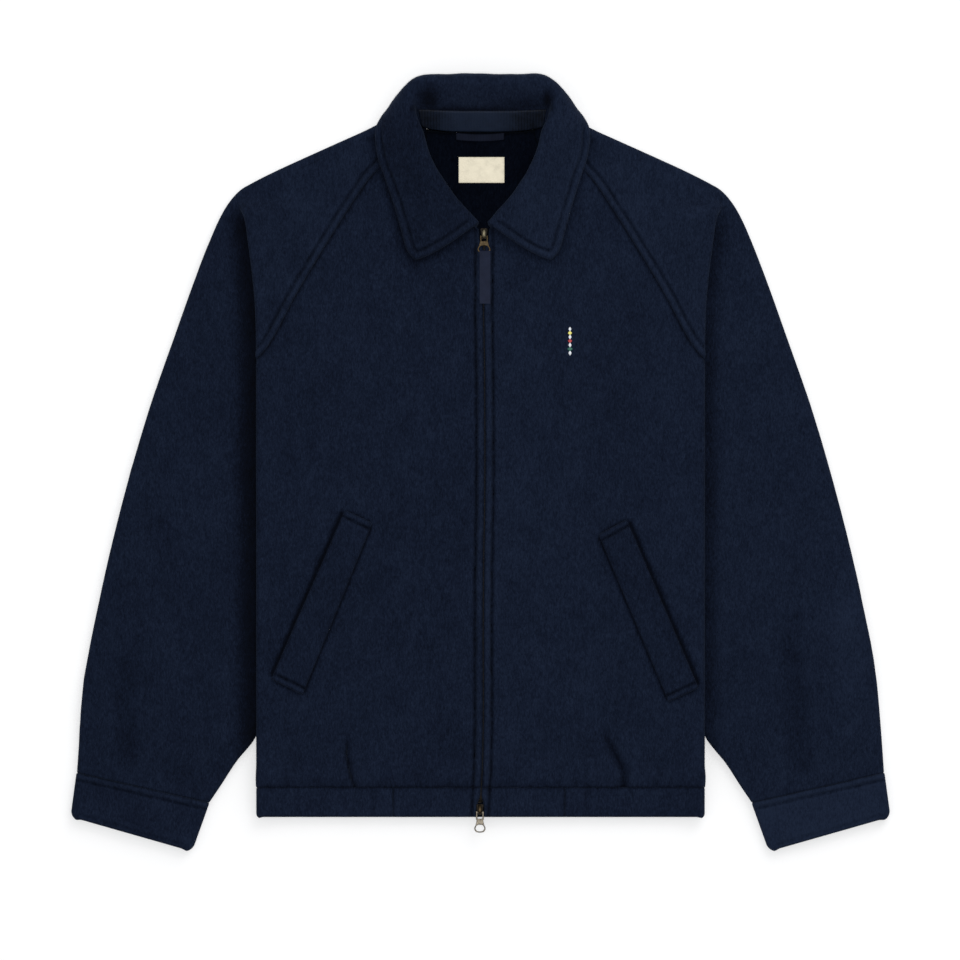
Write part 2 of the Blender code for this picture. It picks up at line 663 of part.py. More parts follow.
def collar_section(row, stand_steps, fall_steps):
    """Points (half, y, z) from the neck seam up the stand, over the crest and down the fall."""
    size = dict(zip(COLLAR_COLUMNS, row))
    seam = np.array([size["seam_half"], size["seam_y"], size["seam_z"]], dtype=float)
    crest = np.array([size["crest_half"], size["crest_y"], size["crest_z"]], dtype=float)
    edge = np.array([size["edge_half"], size["edge_y"], size["edge_z"]], dtype=float)
    outward = np.array([*unit(size["heading"]), 0.0])
    arrive = np.array([*unit(size["arrive"]), 0.0])
    lean = seam + (crest - seam) * 0.4 - outward * 3.0
    stand = (seam, lean, crest - outward * size["roll"], crest)
    low = edge - arrive * size["reach"] + np.array([0.0, 0.0, size["lift"]])
    fall = (crest, crest + outward * size["roll"], low, edge)
    points = [bezier(stand, share) for share in spread(0.0, 1.0, stand_steps)]
    points += [bezier(fall, share) for share in spread(0.0, 1.0, fall_steps)][1:]
    return points


def catmull(sections, share):
    """Sections between the given ones, on a Catmull-Rom curve through each column of points."""
    place = share * (len(sections) - 1)
    k = min(int(place), len(sections) - 2)
    t = place - k
    b, c = sections[k], sections[k + 1]
    a = sections[k - 1] if k > 0 else None
    d = sections[k + 2] if k + 2 < len(sections) else 2 * c - b
    if a is None:
        a = c * np.array([-1.0, 1.0, 1.0])
    return 0.5 * (2 * b + (c - a) * t + (2 * a - 5 * b + 4 * c - d) * t * t + (3 * b - a - 3 * c + d) * t ** 3)


def collar_rows(stations, stand_steps, fall_steps):
    sections = [np.array(collar_section(row, stand_steps, fall_steps)) for row in COLLAR_SECTIONS]
    half_rows = [catmull(sections, k / stations) for k in range(stations + 1)]
    rows = []
    for side, order in ((-1, list(reversed(half_rows))), (1, half_rows[1:])):
        for section in order:
            rows.append([(collar_centre(y) + side * half, y, z) for half, y, z in section])
    return rows


def build_collar(material, parts):
    rows = collar_rows(COLLAR_STATIONS, COLLAR_STAND_STEPS, COLLAR_FALL_STEPS)
    return add_cloth("collar", [rows], COLLAR_CLOTH, material, parts)


def build_neck_band(material, parts):
    """A tape along the inner face of the collar's stand, over the back neck seam."""
    rows = collar_rows(COLLAR_STATIONS, BAND_STAND_STEPS, COLLAR_FALL_STEPS)
    strip = []
    lift = COLLAR_CLOTH / 2 + LAY_GAP + TAPE_CLOTH / 2
    for row in rows:
        first = np.array(row[0])
        if abs(first[0] - COLLAR_CENTRE_X) > BAND_HALF or first[1] < BAND_LEAST_Y:
            continue
        points = []
        for share in spread(BAND_SPAN[0], BAND_SPAN[1], 3):
            place = share * BAND_STAND_STEPS
            k = int(place)
            here = np.array(row[k]) + (np.array(row[k + 1]) - np.array(row[k])) * (place - k)
            along = np.array(row[k + 1]) - np.array(row[k])
            along /= np.linalg.norm(along)
            away = np.array([0.0, -1.0, 0.0]) - along * np.dot(along, [0.0, -1.0, 0.0])
            away /= np.linalg.norm(away)
            points.append(tuple(here + away * lift))
        strip.append(points)
    return add_cloth("neck_band", [strip], TAPE_CLOTH, material, parts)


def build_welt(side_name, corners, material, parts):
    rows = []
    lift = CLOTH / 2 + WELT_GAP + WELT_CLOTH / 2
    for share in spread(0.0, 1.0, 8):
        inner = [corners["top_inner"][n] + (corners["foot_inner"][n] - corners["top_inner"][n]) * share
                 for n in (0, 1)]
        outer = [corners["top_outer"][n] + (corners["foot_outer"][n] - corners["top_outer"][n]) * share
                 for n in (0, 1)]
        row = []
        for across in spread(0.0, 1.0, 3):
            x = inner[0] + (outer[0] - inner[0]) * across
            y = inner[1] + (outer[1] - inner[1]) * across
            row.append((x, y, front_height(x, y) + lift))
        rows.append(row)
    return add_cloth(f"pocket_welt_{side_name}", [rows], WELT_CLOTH, material, parts)


def build_label(material, parts):
    z = CLOTH + LAY_GAP + TAPE_CLOTH / 2
    rows = []
    for y in spread(LABEL["y"] + LABEL["height"] / 2, LABEL["y"] - LABEL["height"] / 2, 2):
        rows.append([(x, y, z) for x in spread(LABEL["x"] - LABEL["width"] / 2,
                                               LABEL["x"] + LABEL["width"] / 2, 4)])
    return add_cloth("neck_label", [rows], TAPE_CLOTH, material, parts)


def build_loop(material, parts):
    """A short strap, its ends down on the back and its middle a little raised."""
    rows = []
    for y in (LOOP["y"] + LOOP["height"] / 2, LOOP["y"] - LOOP["height"] / 2):
        row = []
        for share in spread(-1.0, 1.0, 8):
            z = CLOTH + LAY_GAP + TAPE_CLOTH / 2 + LOOP["rise"] * (1 - share ** 4)
            row.append((LOOP["x"] + share * LOOP["width"] / 2, y - LOOP["sag"] * (1 - share ** 2), z))
        rows.append(row)
    return add_cloth("hanger_loop", [rows], TAPE_CLOTH, material, parts)


def build_zip_tapes(tape, brass, parts):
    for side_name, side in SIDES.items():
        rows = []
        for y in TAPE_ROWS:
            start = zip_x(y) + side * (CHAIN_WIDTH / 2 + LAY_GAP)
            rows.append([(x, y, TAPE_Z) for x in spread(start, start + side * TAPE_WIDTH, 1)])
        add_cloth(f"zip_tape_{side_name}", [rows], TAPE_CLOTH, tape, parts)
    rows = []
    for y in TAPE_ROWS:
        middle = zip_x(y)
        rows.append([(x, y, CHAIN_Z) for x in (middle - CHAIN_WIDTH / 2, middle + CHAIN_WIDTH / 2)])
    add_cloth("zip_chain", [rows], CHAIN_THICK, brass, parts)


def add_box(bm, size, centre):
    made = bmesh.ops.create_cube(bm, size=1.0)
    bmesh.ops.scale(bm, vec=[value * MM for value in size], verts=made["verts"])
    bmesh.ops.translate(bm, vec=[value * MM for value in centre], verts=made["verts"])


def boolean(item, other, operation):
    modifier = item.modifiers.new(operation.title(), "BOOLEAN")
    modifier.operation = operation
    modifier.object = other
    modifier.solver = "EXACT"
    return modifier


def apply_modifiers(item):
    depsgraph = bpy.context.evaluated_depsgraph_get()
    mesh = bpy.data.meshes.new_from_object(item.evaluated_get(depsgraph))
    item.modifiers.clear()
    item.data = mesh


def add_pin(bm, radius, length, centre):
    """A round pin along X."""
    bmesh.ops.create_cone(bm, cap_ends=True, segments=PIN_SIDES, radius1=radius * MM, radius2=radius * MM,
                          depth=length * MM)
    bmesh.ops.rotate(bm, verts=bm.verts, matrix=Matrix.Rotation(math.pi / 2, 3, "Y"))
    bmesh.ops.translate(bm, vec=[value * MM for value in centre], verts=bm.verts)


def union_of(name, pieces, material, parts):
    """One solid from simple ones: (kind, size, centre) rows."""
    made = []
    for kind, size, centre in pieces:
        bm = bmesh.new()
        if kind == "box":
            add_box(bm, size, centre)
        else:
            add_pin(bm, *size, centre)
        made.append(add_mesh_object(f"{name}_{len(made)}", bm, material, parts, 30.0))
    body = made[0]
    body.name = name
    for other in made[1:]:
        boolean(body, other, "UNION")
    apply_modifiers(body)
    for other in made[1:]:
        bpy.data.objects.remove(other, do_unlink=True)
    return body


def build_slider(name, pin, material, parts):
    """A slider: its body on the zip, and a bridge along the zip with an eye under it."""
    x, y = pin
    middle_y = y + PIN_PLACE
    body_height = SLIDER_TOP_Z - SLIDER_FLOOR_Z
    eye_z = SLIDER_TOP_Z + BRIDGE_HOLE / 2
    pieces = [
        ("box", (SLIDER_WIDTH, SLIDER_LENGTH, body_height),
         (x, middle_y, (SLIDER_TOP_Z + SLIDER_FLOOR_Z) / 2)),
        ("box", (BRIDGE_WIDTH, BRIDGE_LENGTH, BRIDGE_BAR),
         (x, middle_y, SLIDER_TOP_Z + BRIDGE_HOLE + BRIDGE_BAR / 2)),
    ]
    for end in (-1, 1):
        centre_y = middle_y + end * (BRIDGE_LENGTH - BRIDGE_LEG) / 2
        pieces.append(("box", (BRIDGE_WIDTH, BRIDGE_LEG, BRIDGE_HOLE + EYE_OVERLAP), (x, centre_y, eye_z)))
    return union_of(name, pieces, material, parts)


def build_pull(name, pin, ring, material, parts):
    """A pull: a pin through the bridge's eye, two arms beside it, and a ring at the foot."""
    x, y = pin
    z = SLIDER_TOP_Z + BRIDGE_HOLE / 2
    arm_start = BRIDGE_WIDTH / 2 + PULL_ARM_GAP
    arm_x = arm_start + PULL_ARM / 2
    foot_y = y - PULL_ARM_REACH
    arm_length = PULL_ARM_REACH + PULL_ARM_TIP
    pieces = [("pin", (PIN_RADIUS, 2 * arm_x + PULL_ARM / 2), (x, y, z))]
    for side in SIDES.values():
        pieces.append(("box", (PULL_ARM, arm_length, PULL_THICK),
                       (x + side * arm_x, foot_y + arm_length / 2, z)))
        pieces.append(("box", (PULL_BAR, ring["length"], PULL_THICK),
                       (x + side * (ring["width"] - PULL_BAR) / 2, foot_y - ring["length"] / 2, z)))
    for bar_y in (foot_y, foot_y - ring["length"]):
        pieces.append(("box", (ring["width"], PULL_BAR, PULL_THICK), (x, bar_y, z)))
    return union_of(name, pieces, material, parts)


def build_tab(material, parts):
    """A folded ribbon hung on the upper pull's ring, with a slot round the ring's last bar."""
    x, y = UPPER_PIN
    z = SLIDER_TOP_Z + BRIDGE_HOLE / 2
    bar_y = y - PULL_ARM_REACH - UPPER_RING["length"]
    strap_top_y = bar_y - TAB_DROP
    knuckle_width = UPPER_RING["width"] - 2 * (PULL_BAR + KNUCKLE_GAP)
    boxes = (
        ("zip_pull_tab", (knuckle_width, KNUCKLE_LENGTH, TAB_SLOT_THICK + 2 * KNUCKLE_WALL),
         (x, bar_y + KNUCKLE_SHIFT, z)),
        ("strap", (TAB_WIDTH, strap_top_y - TAB_FOOT_Y, TAB_THICK), (x, (strap_top_y + TAB_FOOT_Y) / 2, z)),
        ("slot", (2 * TAB_WIDTH, TAB_SLOT_LENGTH, TAB_SLOT_THICK), (x, bar_y, z)),
    )
    made = []
    for name, size, centre in boxes:
        bm = bmesh.new()
        add_box(bm, size, centre)
        made.append(add_mesh_object(name, bm, material, parts, 30.0))
    item, strap, slot = made
    boolean(item, strap, "UNION")
    boolean(item, slot, "DIFFERENCE")
    apply_modifiers(item)
    for other in (strap, slot):
        bpy.data.objects.remove(other, do_unlink=True)
    return item


def build_jacket():
    clear_scene()
    parts = bpy.data.collections.new("fleece_jacket")
    bpy.context.scene.collection.children.link(parts)
    fleece = make_material("Fleece", COLOURS["fleece"], 0.9)
    satin = make_material("Satin", COLOURS["satin"], 0.4)
    blank = make_material("Label", COLOURS["label"], 0.5)
    tape = make_material("Zip tape", COLOURS["tape"], 0.8)
    brass = make_material("Brass", COLOURS["brass"], 0.4, 1.0)
    build_back(fleece, parts)
    for side_name, side in SIDES.items():
        build_sleeve(side_name, side, fleece, parts)
        build_front(side_name, side, fleece, parts)
        build_cuff(side_name, side, fleece, parts)
    build_hem(fleece, parts)
    build_collar(fleece, parts)
    build_neck_band(satin, parts)
    build_label(blank, parts)
    build_loop(satin, parts)
    build_welt("left", WELT_LEFT, fleece, parts)
    build_welt("right", WELT_RIGHT, fleece, parts)
    build_zip_tapes(tape, brass, parts)
    build_slider("zip_slider_upper", UPPER_PIN, brass, parts)
    build_slider("zip_slider_lower", LOWER_PIN, brass, parts)
    build_pull("zip_pull_upper", UPPER_PIN, UPPER_RING, brass, parts)
    build_pull("zip_pull_lower", LOWER_PIN, LOWER_RING, brass, parts)
    build_tab(tape, parts)


build_jacket()
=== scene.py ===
"""Navy fleece jacket laid flat: thin cloth shells over its solid parts, seen from straight above.

Sizes and places are in millimetres; MM turns them into metres when a mesh is made.
X runs across the jacket, Y from the hem to the neck, Z up from the surface it lies on.
Every cloth piece starts as the middle surface of its wall. It is swayed by its creases, then gets an outer
and an inner skin that meet in a rounded edge, and the outer skin carries the stitched grooves.
"""

import math

import bmesh
import bpy
import numpy as np
from mathutils import Matrix, Vector, kdtree


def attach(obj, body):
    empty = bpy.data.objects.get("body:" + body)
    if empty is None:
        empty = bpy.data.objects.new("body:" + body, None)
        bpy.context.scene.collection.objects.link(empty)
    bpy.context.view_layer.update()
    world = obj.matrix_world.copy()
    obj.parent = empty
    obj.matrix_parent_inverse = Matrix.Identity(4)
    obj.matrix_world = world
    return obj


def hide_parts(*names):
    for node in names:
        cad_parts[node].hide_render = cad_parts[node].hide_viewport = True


MM = 0.001
SIDES = {"left": -1, "right": 1}

# Walls
CLOTH = 3.0
BAND_CLOTH = 3.4
CUFF_CLOTH = 3.6
COLLAR_CLOTH = 4.2
WELT_CLOTH = 2.6
TAPE_CLOTH = 1.0
SEAM_GAP = -0.25
FOLD_SEAM_GAP = 0.6
LAY_GAP = 0.4
WELT_GAP = 0.5
EDGE_ROUND = 1.7

# Folds and the stack at the sides
LAYER_RISE = 5.2
FOLD_RADIUS = LAYER_RISE / 2
TUCK_RADIUS = 2.1
FULL_DROP = 2 * (FOLD_RADIUS + TUCK_RADIUS)
FLOOR_MIDDLE = CLOTH / 2
FRONT_MIDDLE = FLOOR_MIDDLE + LAYER_RISE
RAMP_WIDTH = 76.0
BACK_RAMP_WIDTH = 48.0
RAMP_MARGIN = 5.0
ZIP_RISE = 1.0
ZIP_RISE_WIDTH = 55.0

# Levels along Y
SLEEVE_TOP_Y = 341.0
FRONT_TOP_Y = 324.0
NECK_FRONT_Y = 232.5
SHOULDER_FOLD_Y = 268.0
TUCK_FULL_Y = 232.0
SEAM_AT_FOLD_Y = 106.5
SEAM_PAST_FOLD_Y = 94.0
UNDERARM_Y = 71.5
HEM_SEAM_Y = -326.0
HEM_FOOT_Y = -355.5
HEM_TAB_X = (-87.5, 84.5)
UNDERARM_TUCK = 36.4

# Half widths in plan at heights along Y, from the neck down: columns y, half
OUTLINE = ((343.5, 91.0), (331.5, 114.0), (319.5, 140.5), (301.5, 180.5), (289.5, 206.5), (277.5, 230.0),
           (271.5, 240.0), (259.5, 251.0), (247.5, 258.5), (229.5, 267.0), (186.5, 284.0), (126.5, 305.5),
           (51.5, 331.5), (-38.5, 357.5), (-128.5, 379.0), (-218.5, 396.0), (-268.5, 400.5), (-311.0, 403.5))
TOP_FOLD = ((275.0, 239.5), (258.5, 237.5), (221.5, 233.0), (186.5, 228.5), (151.5, 225.5), (112.5, 224.6),
            (-360.0, 224.2))
FRONT_RAGLAN = ((341.0, 68.5), (333.5, 69.5), (295.5, 100.0), (281.5, 112.5), (260.5, 127.0), (217.5, 154.2),
                (168.5, 183.6), (116.5, 212.0), (106.5, 219.9))
BACK_RAGLAN = ((341.0, 58.0), (330.0, 54.0), (319.5, 56.6), (301.5, 65.5), (71.5, 179.0))
INNER_EDGE = ((71.5, 180.2), (11.5, 175.0), (-98.5, 180.0), (-198.5, 196.0), (-275.5, 225.0), (-300.0, 244.3),
              (-323.5, 259.5), (-340.5, 271.0))
SIDE_SEAM = ((71.5, 181.0), (-120.0, 188.0), (-360.0, 198.0))
NECK_RISE = ((0.0, 0.0), (34.0, 0.4), (50.0, 1.9), (60.0, 3.4))
NECK_RISE_LENGTH = 28.5
NECK_TOP_Y = 330.0
NECK_EDGE = ((333.5, 69.0), (314.5, 68.0), (297.5, 61.0), (278.5, 49.0), (260.5, 34.0), (244.5, 18.0),
             (232.5, 5.5))

# The zip's centre line and half the gap between the front edges: columns y, x, half_gap
ZIP_LINE = ((232.5, 3.5, 5.4), (226.0, 3.5, 4.6), (221.5, 3.6, 4.2), (214.0, 3.6, 0.9), (205.0, 3.5, 0.25),
            (150.0, 3.1, 0.25), (90.0, 4.1, 0.25), (0.0, 4.4, 0.25), (-45.0, 4.1, 0.25), (-90.0, 3.3, 0.25),
            (-180.0, 2.7, 0.25), (-240.0, 2.9, 0.25), (-300.0, 2.1, 0.25), (-333.0, 0.4, 0.5),
            (-341.5, 0.0, 2.8), (-346.0, -0.2, 3.4), (-360.0, -0.8, 4.2))
# Half that gap where the edges meet all the way
CLOSED_HALF_GAP = 0.25

# Sleeve end and cuff: plan points of the outer and inner corners
SLEEVE_END = {"outer": (-404.0, -311.4), "inner": (-271.0, -341.4)}
CUFF_TOP = {"outer": (-404.0, -310.9), "inner": (-270.9, -341.0)}
CUFF_LENGTH = 44.0
CUFF_CORNER = 7.0
HEM_CORNER = 3.5
CUFF_FOOT = {"outer": (-410.0, -355.3), "inner": (-288.4, -390.0)}

# Spacing of the cloth's points in from an edge: plain, and with a stitched line
PLAIN_EDGE = (0.0, 0.5, 1.2, 2.2, 3.6)
STITCHED_EDGE = (0.0, 0.5, 1.2, 2.2, 3.5, 4.8, 5.9, 6.7, 7.4, 8.1, 8.9, 9.9, 11.4, 13.6)
ROW_STEP = 2.6
ARC_STEPS = 8
TOP_STEPS = 90
FLAP_STEPS = 8
CAP_STEPS = 40
LAYER_STEPS = 60
BACK_STEPS = 20
RUNG_COUNT = 150
RUNG_LENGTH = 380.0
CLOSE_RUNGS = (3.0, 1.8, 0.8, 0.0)
CUFF_STEPS = 14
BACK_COLUMNS = 30
BACK_ROWS = (44, 60)
BAND_STEPS = 60
BAND_ROWS = 10
TAB_STEPS = 26

# A stitched line: half width of its groove
STITCH_WIDTH = 1.5

# Painted shade on the nap: 1 in cloth sunk by DARK_DEPTH, a share of that at rims and seams, below 0 (painted
# highlight) on a ridge
DARK_DEPTH = 6.0
RIDGE_PAINTED_HIGHLIGHT = -0.12
MOST_PAINTED_LIGHT = -0.45
RIM_DARK = 0.2
RIM_DARK_WIDTH = 1.4
SEAM_DARK = 0.38

# Columns drawn closer beside a welt's edge or a crease: how far out, how close, and the fade past its ends
FINE_REACH = 11.0
FINE_CLOSE = 0.4
FINE_FADE = 15.0

# The sleeve back's free edges: a flat strip above the underarm, a curl up round its inner fold below it
CURL_LENGTH = 8.0
CURL_ANGLE = math.radians(75)

FOLD_WALK = 2 * ARC_STEPS * FOLD_RADIUS * math.sin(math.pi / (2 * ARC_STEPS))
SEAM_TRAVEL = ((UNDERARM_Y, FOLD_WALK + UNDERARM_TUCK - FOLD_SEAM_GAP / 2), (SEAM_PAST_FOLD_Y, FOLD_WALK),
               (SEAM_AT_FOLD_Y, 0.0))
# Rows that follow the raglan seam over the fold
FOLD_SEAM_ROWS = (SEAM_AT_FOLD_Y, 103.4, 100.25, 97.1, SEAM_PAST_FOLD_Y)

# Collar sections, from the centre back to the front edge. Plan places are (half, y), half from the collar's
# centre line. Headings are degrees from +X: 90 points to the neck's top, 180 away from the zip.
COLLAR_COLUMNS = ("seam_half", "seam_y", "seam_z", "crest_half", "crest_y", "crest_z",
                  "edge_half", "edge_y", "edge_z", "heading", "roll", "arrive", "reach", "lift")
COLLAR_SECTIONS = (
    (0, 331.0, 2.6, 0, 381.0, 35.7, 0, 356.5, 2.4, 90, 8.0, 270, 34, 0),
    (34, 331.5, 2.6, 34, 381.0, 35.7, 36, 356.0, 2.4, 90, 8.0, 270, 34, 0),
    (53, 334.0, 4.5, 59.5, 380.3, 35.5, 62.5, 354.8, 2.4, 96, 8.0, 274, 32, 0),
    (62, 337.5, 10.2, 72, 373.5, 34.5, 81, 352.0, 2.4, 130, 7.0, 315, 12, 3),
    (68, 339.5, 10.2, 75, 360.5, 33.2, 92.5, 349.0, 3.2, 148, 9.0, 335, 5, 12),
    (71, 336.0, 10.2, 71.5, 345.0, 31.8, 100.5, 341.5, 7.2, 165, 10.5, 345, 3, 12),
    (71, 327.5, 10.2, 66, 331.0, 30.2, 107.0, 329.5, 11.2, 180, 11.5, 180, 12, 9),
    (68, 313.5, 10.2, 61, 311.5, 28.0, 105.0, 305.5, 11.2, 186, 12.0, 190, 14, 7),
    (61, 297.0, 10.2, 53, 291.5, 25.6, 97.2, 281.5, 11.2, 194, 12.0, 196, 16, 6),
    (49, 278.0, 10.2, 41, 272.5, 23.2, 89.2, 256.0, 11.4, 200, 11.0, 200, 18, 5),
    (34, 260.5, 10.4, 28, 255.5, 21.4, 82.2, 231.0, 11.6, 205, 10.0, 204, 20, 4),
    (18, 244.5, 11.2, 15, 243.5, 21.0, 76.5, 211.5, 11.8, 208, 7.0, 206, 22, 3),
    (7, 234.0, 11.4, 7.5, 236.5, 20.0, 68.5, 201.5, 12.0, 214, 5.0, 190, 22, 2),
)
COLLAR_CENTRE_X = 2.0
COLLAR_FRONT_SHIFT = 0.7
COLLAR_SHIFT_START_Y = 300.0
COLLAR_SHIFT_LENGTH = 60.0
COLLAR_FINE = 40
COLLAR_STAND_STEPS = 16
COLLAR_FALL_STEPS = 18
BAND_HALF = 61.0
BAND_SPAN = (0.0, 0.45)
BAND_LEAST_Y = 300.0

# Small cloth pieces: plan corners and places
WELTS = {
    "left": {"top_inner": (-108.0, -61.5), "top_outer": (-135.5, -48.5),
             "foot_inner": (-178.0, -233.5), "foot_outer": (-209.0, -217.5)},
    "right": {"top_inner": (118.0, -73.0), "top_outer": (146.0, -58.0),
              "foot_inner": (188.0, -240.5), "foot_outer": (218.0, -226.5)},
}
LABEL = {"x": 1.0, "y": 291.5, "width": 46.0, "height": 26.0}
LOOP = {"x": -0.5, "y": 325.2, "width": 49.0, "height": 7.2, "rise": 1.6, "sag": 1.5}

# Zip parts
CHAIN_Z = 4.8
TAPE_Z = 4.6
TAPE_WIDTH = 13.0
TAPE_ENDS = (221.5, -341.5)
CHAIN_ENDS = (220.5, -341.0)
CHAIN_HALF = 3.0
SLIDER_FLOOR_Z = 3.7
SLIDER_TOP_Z = 9.8
BRIDGE_HOLE = 3.0
PIN_PLACE = 3.0
UPPER_PIN = (3.5, 225.0)
LOWER_PIN = (-0.6, -351.0)
PIN_Z = SLIDER_TOP_Z + BRIDGE_HOLE / 2
TAB_FOOT_Y = 157.9
TAB_WIDTH = 11.0
TAB_SHIFT = 1.0


# ---------------------------------------------------------------- curves and heights

def smooth(value):
    t = np.clip(value, 0.0, 1.0)
    return t * t * (3.0 - 2.0 * t)


def bell(distance, width):
    return np.exp(-(distance / width) ** 2)


def read_curve(table, place, column=1):
    """Value of a table's column at a place along its first column, on a smooth curve without overshoot."""
    rows = sorted(table)
    at = np.array([row[0] for row in rows], dtype=float)
    value = np.array([row[column] for row in rows], dtype=float)
    width = np.diff(at)
    steps = np.diff(value) / width
    slopes = np.empty(len(at))
    slopes[0] = steps[0]
    slopes[-1] = steps[-1]
    for k in range(1, len(at) - 1):
        same_way = steps[k - 1] * steps[k] > 0
        slopes[k] = 2 * steps[k - 1] * steps[k] / (steps[k - 1] + steps[k]) if same_way else 0.0
    place = np.asarray(place, dtype=float)
    inside = np.clip(place, at[0], at[-1])
    k = np.clip(np.searchsorted(at, inside) - 1, 0, len(at) - 2)
    t = (inside - at[k]) / width[k]
    start = (1 + 2 * t) * (1 - t) ** 2 * value[k] + t * (1 - t) ** 2 * width[k] * slopes[k]
    finish = t * t * (3 - 2 * t) * value[k + 1] + t * t * (t - 1) * width[k] * slopes[k + 1]
    beyond = np.where(place < at[0], slopes[0], slopes[-1]) * (place - inside)
    result = start + finish + beyond
    return float(result) if result.ndim == 0 else result


def slope_of(table, place):
    return (read_curve(table, place + 1.0) - read_curve(table, place - 1.0)) / 2.0


def fold_angle(y):
    """How far the shoulder's fold has turned under at a height: none at the shoulder, then half a turn."""
    return math.pi * float(smooth((SHOULDER_FOLD_Y - y) / (SHOULDER_FOLD_Y - TUCK_FULL_Y)))


def tuck_depth(y):
    return UNDERARM_TUCK * max(0.0, (TUCK_FULL_Y - y) / (TUCK_FULL_Y - UNDERARM_Y))


def fold_drop(y):
    """Height from the top layer down to the layer under the tuck."""
    angle = fold_angle(y)
    if angle < 0.01:
        return 0.0
    return FULL_DROP * math.pi / 2 * (1 - math.cos(angle)) / angle


def hidden_edge(y):
    """Half width of the stack's inner edge: the tuck's above the underarm, the sleeve's below it."""
    if y >= UNDERARM_Y:
        return read_curve(TOP_FOLD, y) - (FOLD_RADIUS + TUCK_RADIUS + CLOTH) - tuck_depth(y)
    return read_curve(INNER_EDGE, y)


def stack_rise(half, y):
    """How much the stack beneath lifts the top layer, at half widths in one row."""
    drop = fold_drop(y) if y > UNDERARM_Y else FULL_DROP
    step = 1.0 if y >= UNDERARM_Y else -1.0
    slope = (hidden_edge(y + step) - hidden_edge(y)) * step
    inboard = (hidden_edge(y) - half) / math.hypot(1.0, slope) - RAMP_MARGIN
    return drop * (1.0 - smooth(inboard / RAMP_WIDTH))


def zip_x(y):
    return read_curve(ZIP_LINE, y, 1)


def front_height(x, y):
    """Middle of the top layer of cloth, at places x in one row."""
    beside_zip = 1.0 - smooth(np.abs(x - zip_x(y)) / ZIP_RISE_WIDTH)
    return FRONT_MIDDLE + stack_rise(np.abs(x), y) + ZIP_RISE * beside_zip


def back_height(half, y):
    """Middle of the back's layer: on the floor, climbing over the sleeve below the underarm."""
    reach = 1.0 - float(smooth((y - UNDERARM_Y) / BACK_RAMP_WIDTH))
    return FLOOR_MIDDLE + stack_rise(np.abs(half), y) * reach


def collar_centre(y):
    share = smooth((COLLAR_SHIFT_START_Y - y) / COLLAR_SHIFT_LENGTH)
    return COLLAR_CENTRE_X + COLLAR_FRONT_SHIFT * share


# ---------------------------------------------------------------- soft random fields

WAVES = ((1.00, 0.00, 1.0), (0.62, 0.79, 0.8), (-0.53, 0.85, 0.7), (0.93, -0.36, 0.6), (0.17, 0.98, 0.9))


def field(x, y, length, seed):
    """A soft uneven field between about -1 and 1, its swells some length apart."""
    total = np.zeros(np.broadcast(x, y).shape)
    for k, (east, north, share) in enumerate(WAVES):
        stretch = 1.0 + 0.37 * k
        angle = 2 * math.pi * stretch / length
        bend = 1.3 * np.sin((north * x - east * y) * angle * 0.31 + seed * 1.7 + k)
        total = total + share / stretch * np.sin((east * x + north * y) * angle + bend + seed * (k + 1.3))
    return total / 2.2


def ripple(along, length, seed):
    """The same along a line."""
    return field(along, np.zeros_like(along), length, seed)


# ---------------------------------------------------------------- shells

def weld(patches):
    """One list of points and faces from patches of rows; points that coincide are one."""
    points = []
    corners = []
    base = 0
    for rows in patches:
        grid = np.array(rows, dtype=float)
        count, width = grid.shape[:2]
        index = np.arange(count * width).reshape(count, width) + base
        quads = np.stack([index[:-1, :-1], index[:-1, 1:], index[1:, 1:], index[1:, :-1]], axis=-1)
        points.append(grid.reshape(-1, 3))
        corners.append(quads.reshape(-1, 4))
        base += count * width
    points = np.concatenate(points)
    corners = np.concatenate(corners)
    keys = np.round(points * 500).astype(np.int64)
    _, first, inverse = np.unique(keys, axis=0, return_index=True, return_inverse=True)
    inverse = inverse.reshape(-1)
    corners = inverse[corners]
    faces = []
    seen = set()
    for quad in corners:
        ring = []
        for corner in quad:
            if corner not in ring:
                ring.append(int(corner))
        key = frozenset(ring)
        if len(ring) > 2 and key not in seen:
            seen.add(key)
            faces.append(ring)
    used = np.unique(np.concatenate([np.array(face) for face in faces]))
    renumber = -np.ones(len(first), dtype=int)
    renumber[used] = np.arange(len(used))
    faces = [[int(renumber[k]) for k in face] for face in faces]
    return points[first][used], faces, renumber[inverse]


def face_table(faces):
    """Faces as rows of four; a triangle repeats its last corner."""
    return np.array([face if len(face) == 4 else face + face[-1:] for face in faces])


def point_normals(points, quads):
    across = points[quads[:, 2]] - points[quads[:, 0]]
    along = points[quads[:, 3]] - points[quads[:, 1]]
    flat = np.cross(across, along)
    normals = np.zeros_like(points)
    for column in range(4):
        np.add.at(normals, quads[:, column], flat)
    length = np.linalg.norm(normals, axis=1, keepdims=True)
    return normals / np.maximum(length, 1e-9)


def meshed(surface):
    """A middle surface in one patch: its points, faces, grid of point numbers and normals."""
    points, faces, number = weld(surface)
    return points, faces, number.reshape(len(surface[0]), -1), point_normals(points, face_table(faces))


def turned(faces, normals, wrong):
    """Faces and normals, turned over where they face the wrong way."""
    if not wrong:
        return faces, normals
    return [list(reversed(face)) for face in faces], -normals


def edge_loops(faces):
    """Edges that only one face uses, as pairs of points."""
    count = {}
    for face in faces:
        for a, b in zip(face, face[1:] + face[:1]):
            key = (a, b) if a < b else (b, a)
            count[key] = count.get(key, 0) + 1
    return [pair for pair, uses in count.items() if uses == 1]


def tree_of(places):
    tree = kdtree.KDTree(len(places))
    for k, place in enumerate(places):
        tree.insert(Vector(place), k)
    tree.balance()
    return tree


